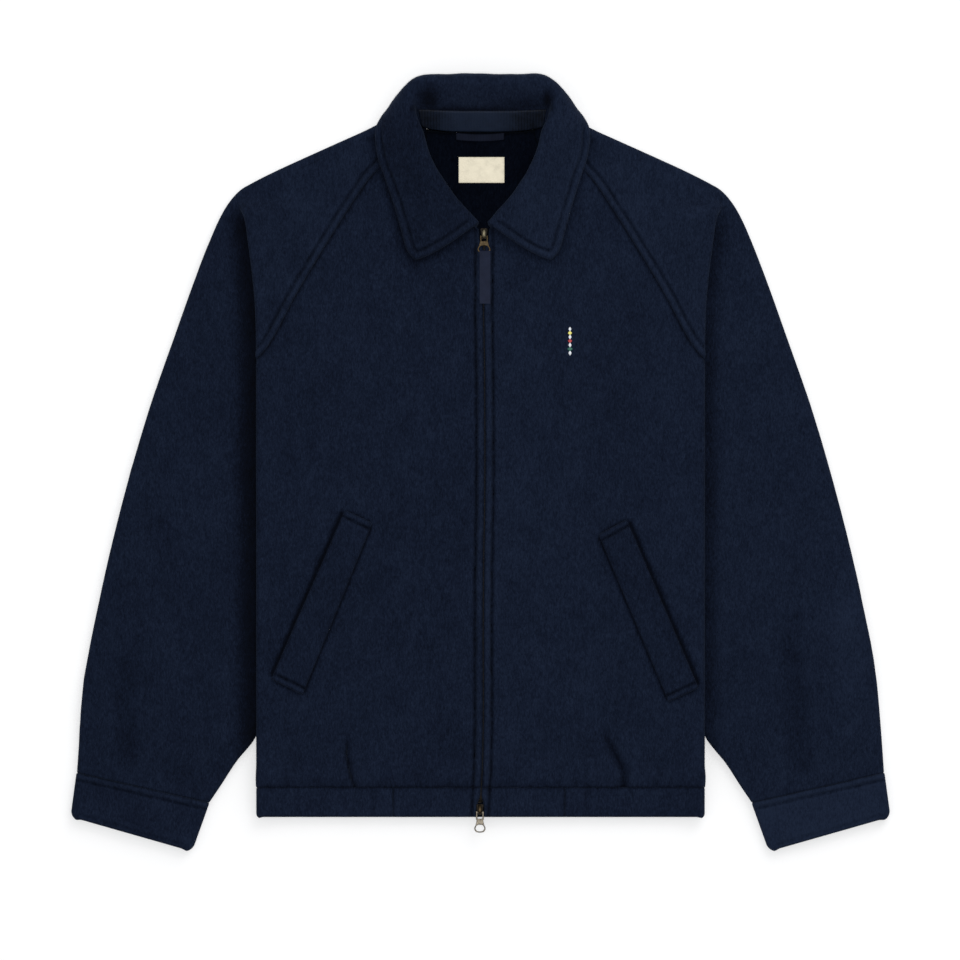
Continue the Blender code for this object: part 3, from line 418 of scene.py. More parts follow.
def sample_path(path, step=0.7):
    """Points along a path at even steps, and how far along it each one is."""
    path = np.array(path, dtype=float)
    lengths = np.linalg.norm(np.diff(path, axis=0), axis=1)
    travel = np.concatenate([[0.0], np.cumsum(lengths)])
    at = np.linspace(0.0, travel[-1], max(2, int(travel[-1] / step)))
    places = np.stack([np.interp(at, travel, path[:, axis]) for axis in range(3)], axis=1)
    return places, at


def near_path(points, path):
    """Distance of each point from a path, and how far along the path its nearest place is."""
    places, at = sample_path(path)
    tree = tree_of(places)
    found = [tree.find(Vector(point)) for point in points]
    return np.array([hit[2] for hit in found]), at[np.array([hit[1] for hit in found])]


def stitched(distance, along, seed, place=7.6, depth=1.25, puff=0.55):
    """Outer skin beside a stitched edge: a puffed edge, then a groove where the thread pulls it in."""
    uneven = 1.0 + 0.24 * ripple(along, 23.0, seed) + 0.22 * ripple(along, 6.5, seed + 3.0)
    wander = place + 0.40 * ripple(along, 44.0, seed + 5.0) + 0.2 * ripple(along, 15.0, seed + 6.0)
    groove = -depth * uneven * bell(distance - wander, STITCH_WIDTH)
    swell = puff * uneven * np.sin(math.pi * np.clip(distance / place, 0.0, 1.0))
    shoulder = 0.30 * bell(distance - place - 3.4, 2.4)
    return groove + swell + shoulder


def pucker(distance, along, seed, size=0.35, length=17.0, reach=9.0):
    """Small uneven gathers that run out from a seam."""
    gathers = ripple(along, length, seed) + 0.6 * ripple(along, length * 0.43, seed + 2.0)
    return size * gathers * np.exp(-(distance / reach) ** 1.4)


def crease(x, y, line, width, depth, ridge=0.5):
    """A soft trough along a line of plan points, deepest at its last point, with a ridge on each side."""
    places, at = sample_path([(a, b, 0.0) for a, b in line], 1.0)
    apart = np.full(x.shape, 1e9)
    share = np.zeros(x.shape)
    for (a, b, _), travel in zip(places, at):
        gap = (x - a) ** 2 + (y - b) ** 2
        nearer = gap < apart
        apart = np.where(nearer, gap, apart)
        share = np.where(nearer, travel / at[-1], share)
    apart = np.sqrt(apart)
    strength = smooth(share * 2.4)
    trough = -depth * bell(apart, width)
    banks = ridge * depth * bell(apart - 2.3 * width, 1.4 * width)
    return strength * (trough + banks)


def put(name, data):
    item = bpy.data.objects.new(name, data)
    bpy.context.scene.collection.objects.link(item)
    return item


def make_shell(name, points, faces, wall, materials, sway=None, relief=None, round_edge=EDGE_ROUND,
               inner_slot=0, sunk=0.0, painted_light=0.0):
    """A closed shell of cloth round a middle surface, its skins joined in a rounded edge.

    Its points keep their painted shade: 1 where the cloth is deeply sunk, less than 0 where painted light
    lies.
    """
    quads = face_table(faces)
    if sway is not None:
        normals = point_normals(points, quads)
        points = points + normals * sway[:, None]
    normals = point_normals(points, quads)
    rim = edge_loops(faces)
    on_rim = np.zeros(len(points), dtype=bool)
    samples = []
    for a, b in rim:
        on_rim[a] = True
        on_rim[b] = True
        parts = max(2, int(np.linalg.norm(points[a] - points[b]) / 0.8))
        for k in range(parts):
            samples.append(points[a] + (points[b] - points[a]) * k / parts)
    tree = tree_of(samples)
    distance = np.array([tree.find(Vector(point))[2] for point in points])
    swell = np.sqrt(1.0 - (1.0 - np.clip(distance / round_edge, 0.0, 1.0)) ** 2)
    swell[on_rim] = 0.0
    lift = np.zeros(len(points)) if relief is None else relief
    fade = np.clip(distance / round_edge, 0.0, 1.0)
    outer = points + normals * (wall / 2 * swell + lift * fade)[:, None]
    inner = points - normals * (wall / 2 * swell)[:, None]
    outer[:, 2] = np.maximum(outer[:, 2], 0.0)
    inner[:, 2] = np.maximum(inner[:, 2], 0.0)
    # Painted shade at the rims, in the grooves and wherever sunk is given; painted light on ridges and over
    # the whole piece as given.
    rim_dark = RIM_DARK * bell(distance, RIM_DARK_WIDTH)
    groove = np.maximum(-lift / DARK_DEPTH, RIDGE_PAINTED_HIGHLIGHT)
    dark = np.clip(groove + np.maximum(rim_dark, sunk) - painted_light, MOST_PAINTED_LIGHT, 1.0)
    twin = np.arange(len(points)) + len(points)
    twin[on_rim] = np.arange(len(points))[on_rim]
    mesh_faces = [list(face) for face in faces]
    inner_faces = [[int(twin[k]) for k in reversed(face)] for face in faces]
    kept = [k for k, (a, b) in enumerate(zip(mesh_faces, inner_faces)) if set(a) != set(b)]
    everything = np.concatenate([outer, inner])
    all_faces = [mesh_faces[k] for k in kept] + [inner_faces[k] for k in kept]
    used = np.unique(np.concatenate([np.array(face) for face in all_faces]))
    renumber = np.zeros(len(everything), dtype=int)
    renumber[used] = np.arange(len(used))
    mesh = bpy.data.meshes.new(name)
    corners = [[int(renumber[k]) for k in face] for face in all_faces]
    mesh.from_pydata((everything[used] * MM).tolist(), [], corners)
    mesh.validate()
    mesh.shade_smooth()
    # The painted shade and painted light go to the material as a point attribute.
    painted_shading = mesh.attributes.new("painted_shading", "FLOAT", "POINT")
    painted_shading.data.foreach_set("value", np.concatenate([dark, dark])[used].astype(np.float32))
    for material in materials:
        mesh.materials.append(material)
    if inner_slot:
        for face in list(mesh.polygons)[len(kept):]:
            face.material_index = inner_slot
    return put(name, mesh)


def solid(name, bm, material, smooth_angle=35.0):
    bmesh.ops.recalc_face_normals(bm, faces=bm.faces)
    mesh = bpy.data.meshes.new(name)
    bm.to_mesh(mesh)
    bm.free()
    mesh.shade_smooth()
    mesh.set_sharp_from_angle(angle=math.radians(smooth_angle))
    mesh.materials.append(material)
    return put(name, mesh)


def soften(piece, name, width, segments, least_angle=None):
    bevel = piece.modifiers.new(name, "BEVEL")
    bevel.width = width * MM
    bevel.segments = segments
    if least_angle:
        bevel.limit_method = "ANGLE"
        bevel.angle_limit = math.radians(least_angle)


def join_rings(bm, rings):
    """Faces between closed rings of points, and a cap on the first and last."""
    count = len(rings[0])
    for first, second in zip(rings[:-1], rings[1:]):
        for k in range(count):
            bm.faces.new((first[k], first[(k + 1) % count], second[(k + 1) % count], second[k]))
    bm.faces.new(rings[0])
    bm.faces.new(list(reversed(rings[-1])))


def spread(start, finish, count):
    return np.linspace(start, finish, count + 1)


def placed(start, finish, count, near_start=(0.0,), near_end=(0.0,)):
    """Places from start to finish: close together near the ends, and count even steps between."""
    length = finish - start
    room = near_start[-1] + near_end[-1]
    scale = min(1.0, 0.8 * length / room) if room > 0 else 1.0
    first = start + np.array(near_start) * scale
    last = finish - np.array(near_end)[::-1] * scale
    return np.concatenate([first[:-1], np.linspace(first[-1], last[0], count + 1), last[1:]])


def fine_columns(halves, y, lines):
    """Places along a row, closer together beside the lines that cross it: tables of y and half width."""
    for line in lines:
        place = read_curve(line, y)
        beyond = max(0.0, y - max(line)[0], min(line)[0] - y)
        close = 1.0 - (1.0 - FINE_CLOSE) * (1.0 - float(smooth(beyond / FINE_FADE)))
        reach = min(FINE_REACH, place - halves[0] - PLAIN_EDGE[-1], halves[-1] - place - PLAIN_EDGE[-1])
        if close > 0.999 or reach < 2.0:
            continue
        off = np.clip((halves - place) / reach, -1.0, 1.0)
        halves = halves + off * reach * (close + (1.0 - close) * np.abs(off) - 1.0)
    return halves


def row_places(top, foot, near_top, near_foot, forced=()):
    count = max(1, int((top - foot) / ROW_STEP))
    rows = list(placed(0.0, top - foot, count, near_top, near_foot))
    rows = [top - value for value in rows]
    for value in forced:
        nearest = min(range(len(rows)), key=lambda k: abs(rows[k] - value))
        if 0 < nearest < len(rows) - 1:
            rows[nearest] = value
    return rows


# ---------------------------------------------------------------- middle surfaces

def seam_travel(y):
    if y >= SEAM_AT_FOLD_Y:
        return 0.0
    return float(np.interp(y, [row[0] for row in SEAM_TRAVEL], [row[1] for row in SEAM_TRAVEL]))


def outer_fold(y):
    """Outer fold of the sleeve in a row: where its curve starts, and its reach across the row."""
    stretch = math.hypot(1.0, slope_of(OUTLINE, y))
    reach = FOLD_RADIUS * stretch
    return read_curve(OUTLINE, y) - CLOTH / 2 * stretch - reach, reach


def tuck_lengths(y):
    """Lengths along the cloth of the top fold and the inner fold in a row, and their reach across it."""
    top = math.pi * FOLD_RADIUS
    inner = math.pi * TUCK_RADIUS
    angle = fold_angle(y)
    if angle < 0.01:
        room = 0.55 * (outer_fold(y)[0] - read_curve(FRONT_RAGLAN, y))
        scale = min(1.0, room / (top + inner))
        return top * scale, inner * scale, (top + inner) * scale
    return top, inner, (top + inner) * math.sin(angle) / angle


def top_fold_start(y):
    """Half width where the top layer starts to turn under."""
    start = read_curve(TOP_FOLD, y) - FOLD_RADIUS - CLOTH / 2
    return min(start, outer_fold(y)[0] - tuck_lengths(y)[2] - 1.0)


def tuck_profile(y):
    """Points (half, z) through the top fold, the tuck and the inner fold, in runs."""
    top, inner, _ = tuck_lengths(y)
    angle = fold_angle(y)
    half, height, heading = top_fold_start(y), 0.0, 0.0
    turn = angle / ARC_STEPS
    bend = math.sin(turn / 2) / (turn / 2) if turn > 1e-6 else 1.0
    runs = {"top": [(half, height)], "inner": []}
    for _ in range(ARC_STEPS):
        middle = heading + turn / 2
        half += top / ARC_STEPS * bend * math.cos(middle)
        height -= top / ARC_STEPS * bend * math.sin(middle)
        heading += turn
        runs["top"].append((half, height))
    half += tuck_depth(y) * math.cos(heading)
    height -= tuck_depth(y) * math.sin(heading)
    runs["inner"].append((half, height))
    for _ in range(ARC_STEPS):
        middle = heading - turn / 2
        half += inner / ARC_STEPS * bend * math.cos(middle)
        height -= inner / ARC_STEPS * bend * math.sin(middle)
        heading -= turn
        runs["inner"].append((half, height))
    lift = FRONT_MIDDLE - height
    return {name: [(a, b + lift) for a, b in run] for name, run in runs.items()}


def along_tuck(y, travel):
    """Point on the tuck at a distance along the cloth from the top fold's start."""
    profile = tuck_profile(y)
    points = profile["top"] + profile["inner"]
    for first, second in zip(points[:-1], points[1:]):
        length = math.hypot(second[0] - first[0], second[1] - first[1])
        if travel <= length + 1e-9:
            t = max(0.0, travel) / length if length > 1e-9 else 0.0
            return first[0] + (second[0] - first[0]) * t, first[1] + (second[1] - first[1]) * t
        travel -= length
    return points[-1]


def half_turn(count, first=1, last=None):
    """Sine and cosine at steps round a half turn."""
    last = count if last is None else last
    return [(math.sin(math.pi * k / count), math.cos(math.pi * k / count)) for k in range(first, last + 1)]


def sleeve_surface(side):
    """The sleeve's middle: the cap and tuck above the underarm, and the flattened tube beneath and below."""
    rows = row_places(SLEEVE_TOP_Y, UNDERARM_Y, PLAIN_EDGE, (0.0,), FOLD_SEAM_ROWS)
    wrap = []
    tube = []
    for y in rows:
        travel = seam_travel(y)
        profile = tuck_profile(y)
        start = top_fold_start(y)
        if y >= SEAM_AT_FOLD_Y:
            first = min(read_curve(FRONT_RAGLAN, y) + SEAM_GAP / 2, start - 0.05)
            halves = placed(first, start, CAP_STEPS, STITCHED_EDGE)
            cap = [(half, z) for half, z in zip(halves, front_height(halves, y))]
            cap += profile["top"][1:] + profile["inner"]
        else:
            edge = along_tuck(y, travel + FOLD_SEAM_GAP / 2)
            kept = []
            walked = 0.0
            line = profile["top"] + profile["inner"]
            last = line[0]
            for point in line:
                walked += math.hypot(point[0] - last[0], point[1] - last[1])
                last = point
                kept.append(point if walked > travel + FOLD_SEAM_GAP / 2 else edge)
            cap = [edge] * (CAP_STEPS + len(STITCHED_EDGE) - 1) + kept
        wrap.append([(side * half, y, z) for half, z in cap])
        outer_start, reach = outer_fold(y)
        lower_start = profile["inner"][-1][0]
        ring = [(half, FRONT_MIDDLE) for half in spread(lower_start, outer_start, LAYER_STEPS)]
        for sine, cosine in half_turn(ARC_STEPS):
            ring.append((outer_start + reach * sine, FLOOR_MIDDLE + FOLD_RADIUS + FOLD_RADIUS * cosine))
        back_end = read_curve(BACK_RAGLAN, y) + SEAM_GAP / 2
        above = y > UNDERARM_Y + 0.01
        flat_end = back_end + CURL_LENGTH if above else hidden_edge(y) + FOLD_RADIUS + CLOTH / 2
        ring += [(half, FLOOR_MIDDLE) for half in spread(outer_start, flat_end, BACK_STEPS)[1:]]
        if above:
            ring += [(half, FLOOR_MIDDLE) for half in spread(flat_end, back_end, ARC_STEPS)[1:]]
        else:
            for k in range(1, ARC_STEPS + 1):
                turn = CURL_ANGLE * k / ARC_STEPS
                ring.append((flat_end - FOLD_RADIUS * math.sin(turn),
                             FLOOR_MIDDLE + FOLD_RADIUS * (1 - math.cos(turn))))
        tube.append([(side * half, y, z) for half, z in ring])
    shares = [k / RUNG_COUNT for k in range(1, RUNG_COUNT)]
    shares += [1 - from_foot / RUNG_LENGTH for from_foot in CLOSE_RUNGS]
    for share in sorted(shares):
        outer, inner = rung_ends(share)
        tube.append([(side * half, y, z) for half, y, z in flat_ring(outer, inner, CLOTH)])
    return [wrap, tube]


def rung_ends(share):
    """Plan corners of a row of the sleeve below the underarm; rows swing to lie along the cuff."""
    swing = share ** 1.5
    outer_y = UNDERARM_Y + (SLEEVE_END["outer"][1] - UNDERARM_Y) * share
    inner_y = UNDERARM_Y + (SLEEVE_END["inner"][1] - UNDERARM_Y) * (share * (1 - swing) + share * swing)
    return (read_curve(OUTLINE, outer_y), outer_y), (read_curve(INNER_EDGE, inner_y), inner_y)


def flat_ring(outer, inner, wall):
    """One row round a flattened tube, from the inner fold over the front, round the outer fold and back."""
    across = math.hypot(outer[0] - inner[0], outer[1] - inner[1])
    inset = (wall / 2 + FOLD_RADIUS) / across
    floor = wall / 2

    def place(share, z):
        half = inner[0] + (outer[0] - inner[0]) * share
        return half, inner[1] + (outer[1] - inner[1]) * share, z

    middle = floor + FOLD_RADIUS
    row = [place(share, floor + LAYER_RISE) for share in spread(inset, 1 - inset, LAYER_STEPS)]
    for sine, cosine in half_turn(ARC_STEPS):
        row.append(place(1 - inset + FOLD_RADIUS * sine / across, middle + FOLD_RADIUS * cosine))
    row += [place(share, floor) for share in spread(1 - inset, inset, BACK_STEPS)[1:]]
    for sine, cosine in reversed(half_turn(ARC_STEPS, 0, ARC_STEPS - 1)):
        row.append(place(inset - FOLD_RADIUS * sine / across, middle + FOLD_RADIUS * cosine))
    return row


def corner_inset(from_foot, radius):
    """How far a rounded corner draws the ends of a row in, near a piece's foot."""
    left = max(0.0, radius - from_foot)
    return radius - math.sqrt(radius * radius - left * left)


def cuff_surface(side):
    rows = []
    for distance in placed(0.0, CUFF_LENGTH, CUFF_STEPS, STITCHED_EDGE, STITCHED_EDGE[:9]):
        share = distance / CUFF_LENGTH
        outer, inner = ([top + (foot - top) * share for top, foot in zip(CUFF_TOP[corner], CUFF_FOOT[corner])]
                        for corner in ("outer", "inner"))
        across = math.hypot(outer[0] - inner[0], outer[1] - inner[1])
        inset = corner_inset(CUFF_LENGTH - distance, CUFF_CORNER) / across
        ends = ((outer, inner), (inner, outer))
        outer, inner = ([a + (b - a) * inset for a, b in zip(*pair)] for pair in ends)
        ring = flat_ring((-outer[0], outer[1]), (-inner[0], inner[1]), CUFF_CLOTH)
        rows.append([(side * half, y, z) for half, y, z in ring])
    return [rows]


def front_inner_edge(y, side):
    """Signed x of a front's edge towards the zip or the neck."""
    if y > NECK_FRONT_Y:
        return float(collar_centre(y)) + side * read_curve(NECK_EDGE, y)
    return zip_x(y) + side * read_curve(ZIP_LINE, y, 2)


def top_row(halves, y, side, offset=0.0):
    """Points of the top layer at half widths in one row."""
    return [(side * half, y, z + offset) for half, z in zip(halves, front_height(side * halves, y))]


def body_row(x_inner, y, side, wall, offset, flap, near_zip, count, lines=()):
    """A row of the body: top layer from x_inner to the side, round the fold, and under along the flap."""
    start = read_curve(TOP_FOLD, y) - FOLD_RADIUS - wall / 2 - corner_inset(y - HEM_FOOT_Y, HEM_CORNER)
    halves = fine_columns(placed(side * x_inner, start, count, near_zip, PLAIN_EDGE), y, lines)
    row = top_row(halves, y, side, offset)
    foot = float(back_height(start, y)) + offset
    top = row[-1][2]
    for sine, cosine in half_turn(ARC_STEPS):
        row.append((side * (start + FOLD_RADIUS * sine), y, (top + foot) / 2 + (top - foot) / 2 * cosine))
    under = np.linspace(start, flap, FLAP_STEPS * (3 if flap == 0.0 else 1) + 1)[1:]
    row += [(side * half, y, float(z) + offset) for half, z in zip(under, back_height(under, y))]
    return row


def fine_lines(side_name):
    """Lines on a front that need close columns, as tables of y and half width."""
    corners = WELTS[side_name]
    paths = [[corners[f"{end}_{edge}"] for end in ("top", "foot")] for edge in ("inner", "outer")]
    return [tuple((y, abs(x)) for x, y in path) for path in paths + [HEM_CREASES[side_name][0]]]


def front_surface(side_name, side):
    rows = []
    lines = fine_lines(side_name)
    levels = row_places(FRONT_TOP_Y, HEM_SEAM_Y + SEAM_GAP, (0.0,), PLAIN_EDGE,
                        (NECK_FRONT_Y, *FOLD_SEAM_ROWS, UNDERARM_Y))
    for y in levels:
        x_inner = front_inner_edge(y, side)
        if y > SEAM_AT_FOLD_Y:
            end = read_curve(FRONT_RAGLAN, y) - SEAM_GAP / 2
            halves = placed(side * x_inner, end, TOP_STEPS, STITCHED_EDGE, PLAIN_EDGE)
            row = top_row(halves, y, side)
            row += [row[-1]] * (ARC_STEPS + FLAP_STEPS)
        elif y > UNDERARM_Y + 0.01:
            travel = seam_travel(y) - FOLD_SEAM_GAP / 2
            start = top_fold_start(y)
            profile = tuck_profile(y)["top"]
            step = math.hypot(profile[1][0] - profile[0][0], profile[1][1] - profile[0][1])
            halves = placed(side * x_inner, start + min(0.0, travel), TOP_STEPS, STITCHED_EDGE, PLAIN_EDGE)
            row = top_row(halves, y, side)
            edge = along_tuck(y, travel) if travel > 0 else None
            for k in range(1, ARC_STEPS + 1):
                if edge is None:
                    row.append(row[-1])
                    continue
                half, z = profile[k] if k * step <= travel else edge
                row.append((side * half, y, z))
            last_half = abs(row[-1][0])
            flap_end = edge[0] if edge is not None and travel > ARC_STEPS * step else last_half
            row += [(side * half, y, row[-1][2]) for half in spread(last_half, flap_end, FLAP_STEPS)[1:]]
        else:
            row = body_row(x_inner, y, side, CLOTH, 0.0, read_curve(SIDE_SEAM, y) + SEAM_GAP / 2,
                           STITCHED_EDGE, TOP_STEPS, lines)
        rows.append(row)
    return [rows]


def neck_rise(half, y):
    """How much higher the back's neck edge lies away from the centre, fading out below it."""
    share = float(smooth((y - NECK_TOP_Y) / NECK_RISE_LENGTH + 1.0))
    return read_curve(NECK_RISE, half) * share


def back_surface():
    rows = []
    levels = list(np.linspace(NECK_TOP_Y, UNDERARM_Y, BACK_ROWS[0]))
    levels += list(np.linspace(UNDERARM_Y, HEM_SEAM_Y + SEAM_GAP, BACK_ROWS[1])[1:])
    for y in levels:
        table = BACK_RAGLAN if y >= UNDERARM_Y else SIDE_SEAM
        end = read_curve(table, y + neck_rise(read_curve(table, y), y)) - SEAM_GAP / 2
        halves = placed(0.0, end, BACK_COLUMNS, (0.0,), PLAIN_EDGE)
        heights = back_height(halves, y)
        row = [(-half, y + neck_rise(half, y), z) for half, z in zip(halves[::-1], heights[::-1])]
        rows.append(row + [(half, y + neck_rise(half, y), z) for half, z in zip(halves[1:], heights[1:])])
    return [rows]


def band_levels():
    top = HEM_SEAM_Y - SEAM_GAP
    return top - placed(0.0, top - HEM_FOOT_Y, BAND_ROWS, PLAIN_EDGE, PLAIN_EDGE)


def hem_tab_surface(side, tab_x):
    offset = (BAND_CLOTH - CLOTH) / 2
    rows = []
    for y in band_levels():
        inner = zip_x(y) + side * read_curve(ZIP_LINE, y, 2)
        outer = tab_x - side * SEAM_GAP / 2
        ends = placed(side * inner, side * outer, TAB_STEPS, STITCHED_EDGE, PLAIN_EDGE)
        rows.append(top_row(ends, y, side, offset))
    return [rows]


def hem_band_surface():
    offset = (BAND_CLOTH - CLOTH) / 2
    rows = []
    for y in band_levels():
        halves = []
        for side, tab_x in zip(SIDES.values(), HEM_TAB_X):
            halves.append(body_row(tab_x + side * SEAM_GAP / 2, y, side, BAND_CLOTH, offset, 0.0, PLAIN_EDGE,
                                   BAND_STEPS))
        rows.append(halves[0] + list(reversed(halves[1]))[1:])
    return [rows]


def heading_vector(degrees):
    """Plan direction of a heading on the left half, as (towards the outside, towards the neck)."""
    return np.array([-math.cos(math.radians(degrees)), math.sin(math.radians(degrees)), 0.0])


def bezier(points, shares):
    a, b, c, d = (np.array(point, dtype=float) for point in points)
    t = np.array(shares)[:, None]
    return (1 - t) ** 3 * a + 3 * (1 - t) ** 2 * t * b + 3 * (1 - t) * t * t * c + t ** 3 * d


def collar_section(row):
    """Points (half, y, z) from the neck seam up the stand, over the crest and down the fall."""
    size = dict(zip(COLLAR_COLUMNS, row))
    seam, crest, edge = (np.array([size[f"{part}_{axis}"] for axis in ("half", "y", "z")], dtype=float)
                         for part in ("seam", "crest", "edge"))
    outward = heading_vector(size["heading"])
    arrive = heading_vector(size["arrive"])
    lean = seam + (crest - seam) * 0.4 - outward * 3.0
    stand = (seam, lean, crest - outward * size["roll"], crest)
    low = edge - arrive * size["reach"] + np.array([0.0, 0.0, size["lift"]])
    fall = (crest, crest + outward * size["roll"], low, edge)
    shares = np.linspace(0.0, 1.0, COLLAR_FINE + 1)
    return bezier(stand, shares), bezier(fall, shares)


def resample(line, places):
    """Points of a line at shares of its length."""
    lengths = np.linalg.norm(np.diff(line, axis=0), axis=1)
    travel = np.concatenate([[0.0], np.cumsum(lengths)])
    at = np.array(places) * travel[-1]
    return np.stack([np.interp(at, travel, line[:, axis]) for axis in range(3)], axis=1)


def between(a, b, c, d, t):
    """A point at a share of the way from b to c, on a Catmull-Rom curve through a, b, c and d."""
    return 0.5 * (2 * b + (c - a) * t + (2 * a - 5 * b + 4 * c - d) * t * t
                  + (3 * b - a - 3 * c + d) * t ** 3)


def catmull(sections, share):
    """A section between the given ones, on a curve through each column of points."""
    place = share * (len(sections) - 1)
    k = min(int(place), len(sections) - 2)
    b, c = sections[k], sections[k + 1]
    a = sections[k - 1] if k > 0 else c * np.array([-1.0, 1.0, 1.0])
    d = sections[k + 2] if k + 2 < len(sections) else 2 * c - b
    return between(a, b, c, d, place - k)


def collar_half_rows(stand_places):
    """Sections of the right half from the centre back to the front edge, close together at the edges."""
    sections = []
    for row in COLLAR_SECTIONS:
        stand, fall = collar_section(row)
        length = float(np.linalg.norm(np.diff(fall, axis=0), axis=1).sum())
        fall_places = placed(0.0, length, COLLAR_FALL_STEPS, (0.0,), STITCHED_EDGE) / length
        sections.append(np.concatenate([resample(stand, stand_places), resample(fall, fall_places)[1:]]))
    last = 1.0 - np.array(STITCHED_EDGE)[::-1] / 14.0 / (len(COLLAR_SECTIONS) - 1)
    shares = np.concatenate([np.linspace(0.0, last[0], 96)[:-1], last])
    return [catmull(sections, share) for share in shares]


def both_sides(half_rows):
    rows = []
    for side, order in ((-1, list(reversed(half_rows))), (1, half_rows[1:])):
        for section in order:
            line = np.array(section)
            x = collar_centre(line[:, 1]) + side * line[:, 0]
            rows.append(np.stack([x, line[:, 1], line[:, 2]], axis=1))
    return rows


def collar_surface():
    stand = placed(0.0, 1.0, COLLAR_STAND_STEPS, (0.0, 0.02, 0.05))
    return [both_sides(collar_half_rows(stand))]


def neck_band_surface():
    """A tape along the inner face of the collar's stand, over the back neck seam."""
    stand = np.linspace(BAND_SPAN[0], BAND_SPAN[1], 13)
    count = len(stand)
    lift = COLLAR_CLOTH / 2 + LAY_GAP + TAPE_CLOTH / 2
    strip = []
    for row in both_sides(collar_half_rows(np.concatenate([[0.0], stand, [1.0]]))):
        if abs(row[0][0] - COLLAR_CENTRE_X) > BAND_HALF or row[0][1] < BAND_LEAST_Y:
            continue
        line = row[1:count + 1]
        along = np.gradient(line, axis=0)
        along /= np.linalg.norm(along, axis=1, keepdims=True)
        away = np.array([0.0, -1.0, 0.0]) - along * (along @ np.array([0.0, -1.0, 0.0]))[:, None]
        away /= np.linalg.norm(away, axis=1, keepdims=True)
        strip.append(line + away * lift)
    return [strip]


def welt_surface(corners):
    """Rows along the welt, columns across it from its sewn inner edge to its free outer edge."""
    lift = CLOTH / 2 + WELT_GAP + WELT_CLOTH / 2
    ends = {name: np.array(place) for name, place in corners.items()}
    length = float(np.linalg.norm(ends["foot_inner"] - ends["top_inner"]))
    width = float(np.linalg.norm(ends["top_outer"] - ends["top_inner"]))
    rows = []
    for along in placed(0.0, length, 60, STITCHED_EDGE, STITCHED_EDGE) / length:
        inner = ends["top_inner"] + (ends["foot_inner"] - ends["top_inner"]) * along
        outer = ends["top_outer"] + (ends["foot_outer"] - ends["top_outer"]) * along
        row = []
        for across in placed(0.0, width, 8, PLAIN_EDGE, PLAIN_EDGE) / width:
            x, y = inner + (outer - inner) * across
            row.append((x, y, float(front_height(x, y)) + lift))
        rows.append(row)
    return [rows]


# ---------------------------------------------------------------- materials

class Nodes:
    """Short names for building a material's nodes."""

    def __init__(self, name):
        self.material = bpy.data.materials.new(name)
        self.material.use_nodes = True
        self.tree = self.material.node_tree
        self.shader = self.tree.nodes["Principled BSDF"]
        self.place = self.add("ShaderNodeTexCoord").outputs["Object"]

    def add(self, kind, **values):
        node = self.tree.nodes.new(kind)
        for key, value in values.items():
            setattr(node, key, value)
        return node

    def link(self, source, target):
        self.tree.links.new(source, target)

    # The points' painted shade and painted light, as kept by make_shell.
    def painted_shading(self):
        return self.add("ShaderNodeAttribute", attribute_name="painted_shading").outputs["Fac"]

    def stretched(self, scale, turn=(0.0, 0.0, 0.0)):
        node = self.add("ShaderNodeMapping")
        node.inputs["Scale"].default_value = scale
        node.inputs["Rotation"].default_value = turn
        self.link(self.place, node.inputs["Vector"])
        return node.outputs["Vector"]

    def noise(self, vector, scale, detail=3.0, roughness=0.6, distortion=0.0):
        node = self.add("ShaderNodeTexNoise")
        self.link(vector, node.inputs["Vector"])
        node.inputs["Scale"].default_value = scale
        node.inputs["Detail"].default_value = detail
        node.inputs["Roughness"].default_value = roughness
        node.inputs["Distortion"].default_value = distortion
        return node.outputs["Fac"]

    def math(self, operation, first, second, clamp=False):
        node = self.add("ShaderNodeMath", operation=operation, use_clamp=clamp)
        for socket, value in zip(node.inputs, (first, second)):
            if hasattr(value, "is_output"):
                self.link(value, socket)
            else:
                socket.default_value = value
        return node.outputs[0]

    def ramp(self, value, stops):
        node = self.add("ShaderNodeValToRGB")
        while len(node.color_ramp.elements) < len(stops):
            node.color_ramp.elements.new(0.5)
        for element, (place, colour) in zip(node.color_ramp.elements, stops):
            element.position = place
            element.color = (*colour, 1.0)
        self.link(value, node.inputs["Fac"])
        return node.outputs["Color"]

    def colour(self, source):
        self.link(source, self.shader.inputs["Base Color"])

    def bump(self, height, strength, distance):
        node = self.add("ShaderNodeBump")
        node.inputs["Strength"].default_value = strength
        node.inputs["Distance"].default_value = distance
        self.link(height, node.inputs["Height"])
        self.link(node.outputs["Normal"], self.shader.inputs["Normal"])

    def blend(self, *parts):
        """The sum of some values, each times its share."""
        scaled = [self.math("MULTIPLY", value, share) for value, share in parts]
        total = scaled[0]
        for part in scaled[1:]:
            total = self.math("ADD", total, part)
        return total

    def fixed(self, **values):
        for key, value in values.items():
            self.shader.inputs[key.replace("_", " ")].default_value = value


FLEECE_DARK = (0.0013, 0.0025, 0.0070)
FLEECE_MIDDLE = (0.0038, 0.0068, 0.0167)
FLEECE_PALE = (0.0090, 0.0149, 0.0323)


def tinted(colour, tone):
    return tuple(value * tone for value in colour)


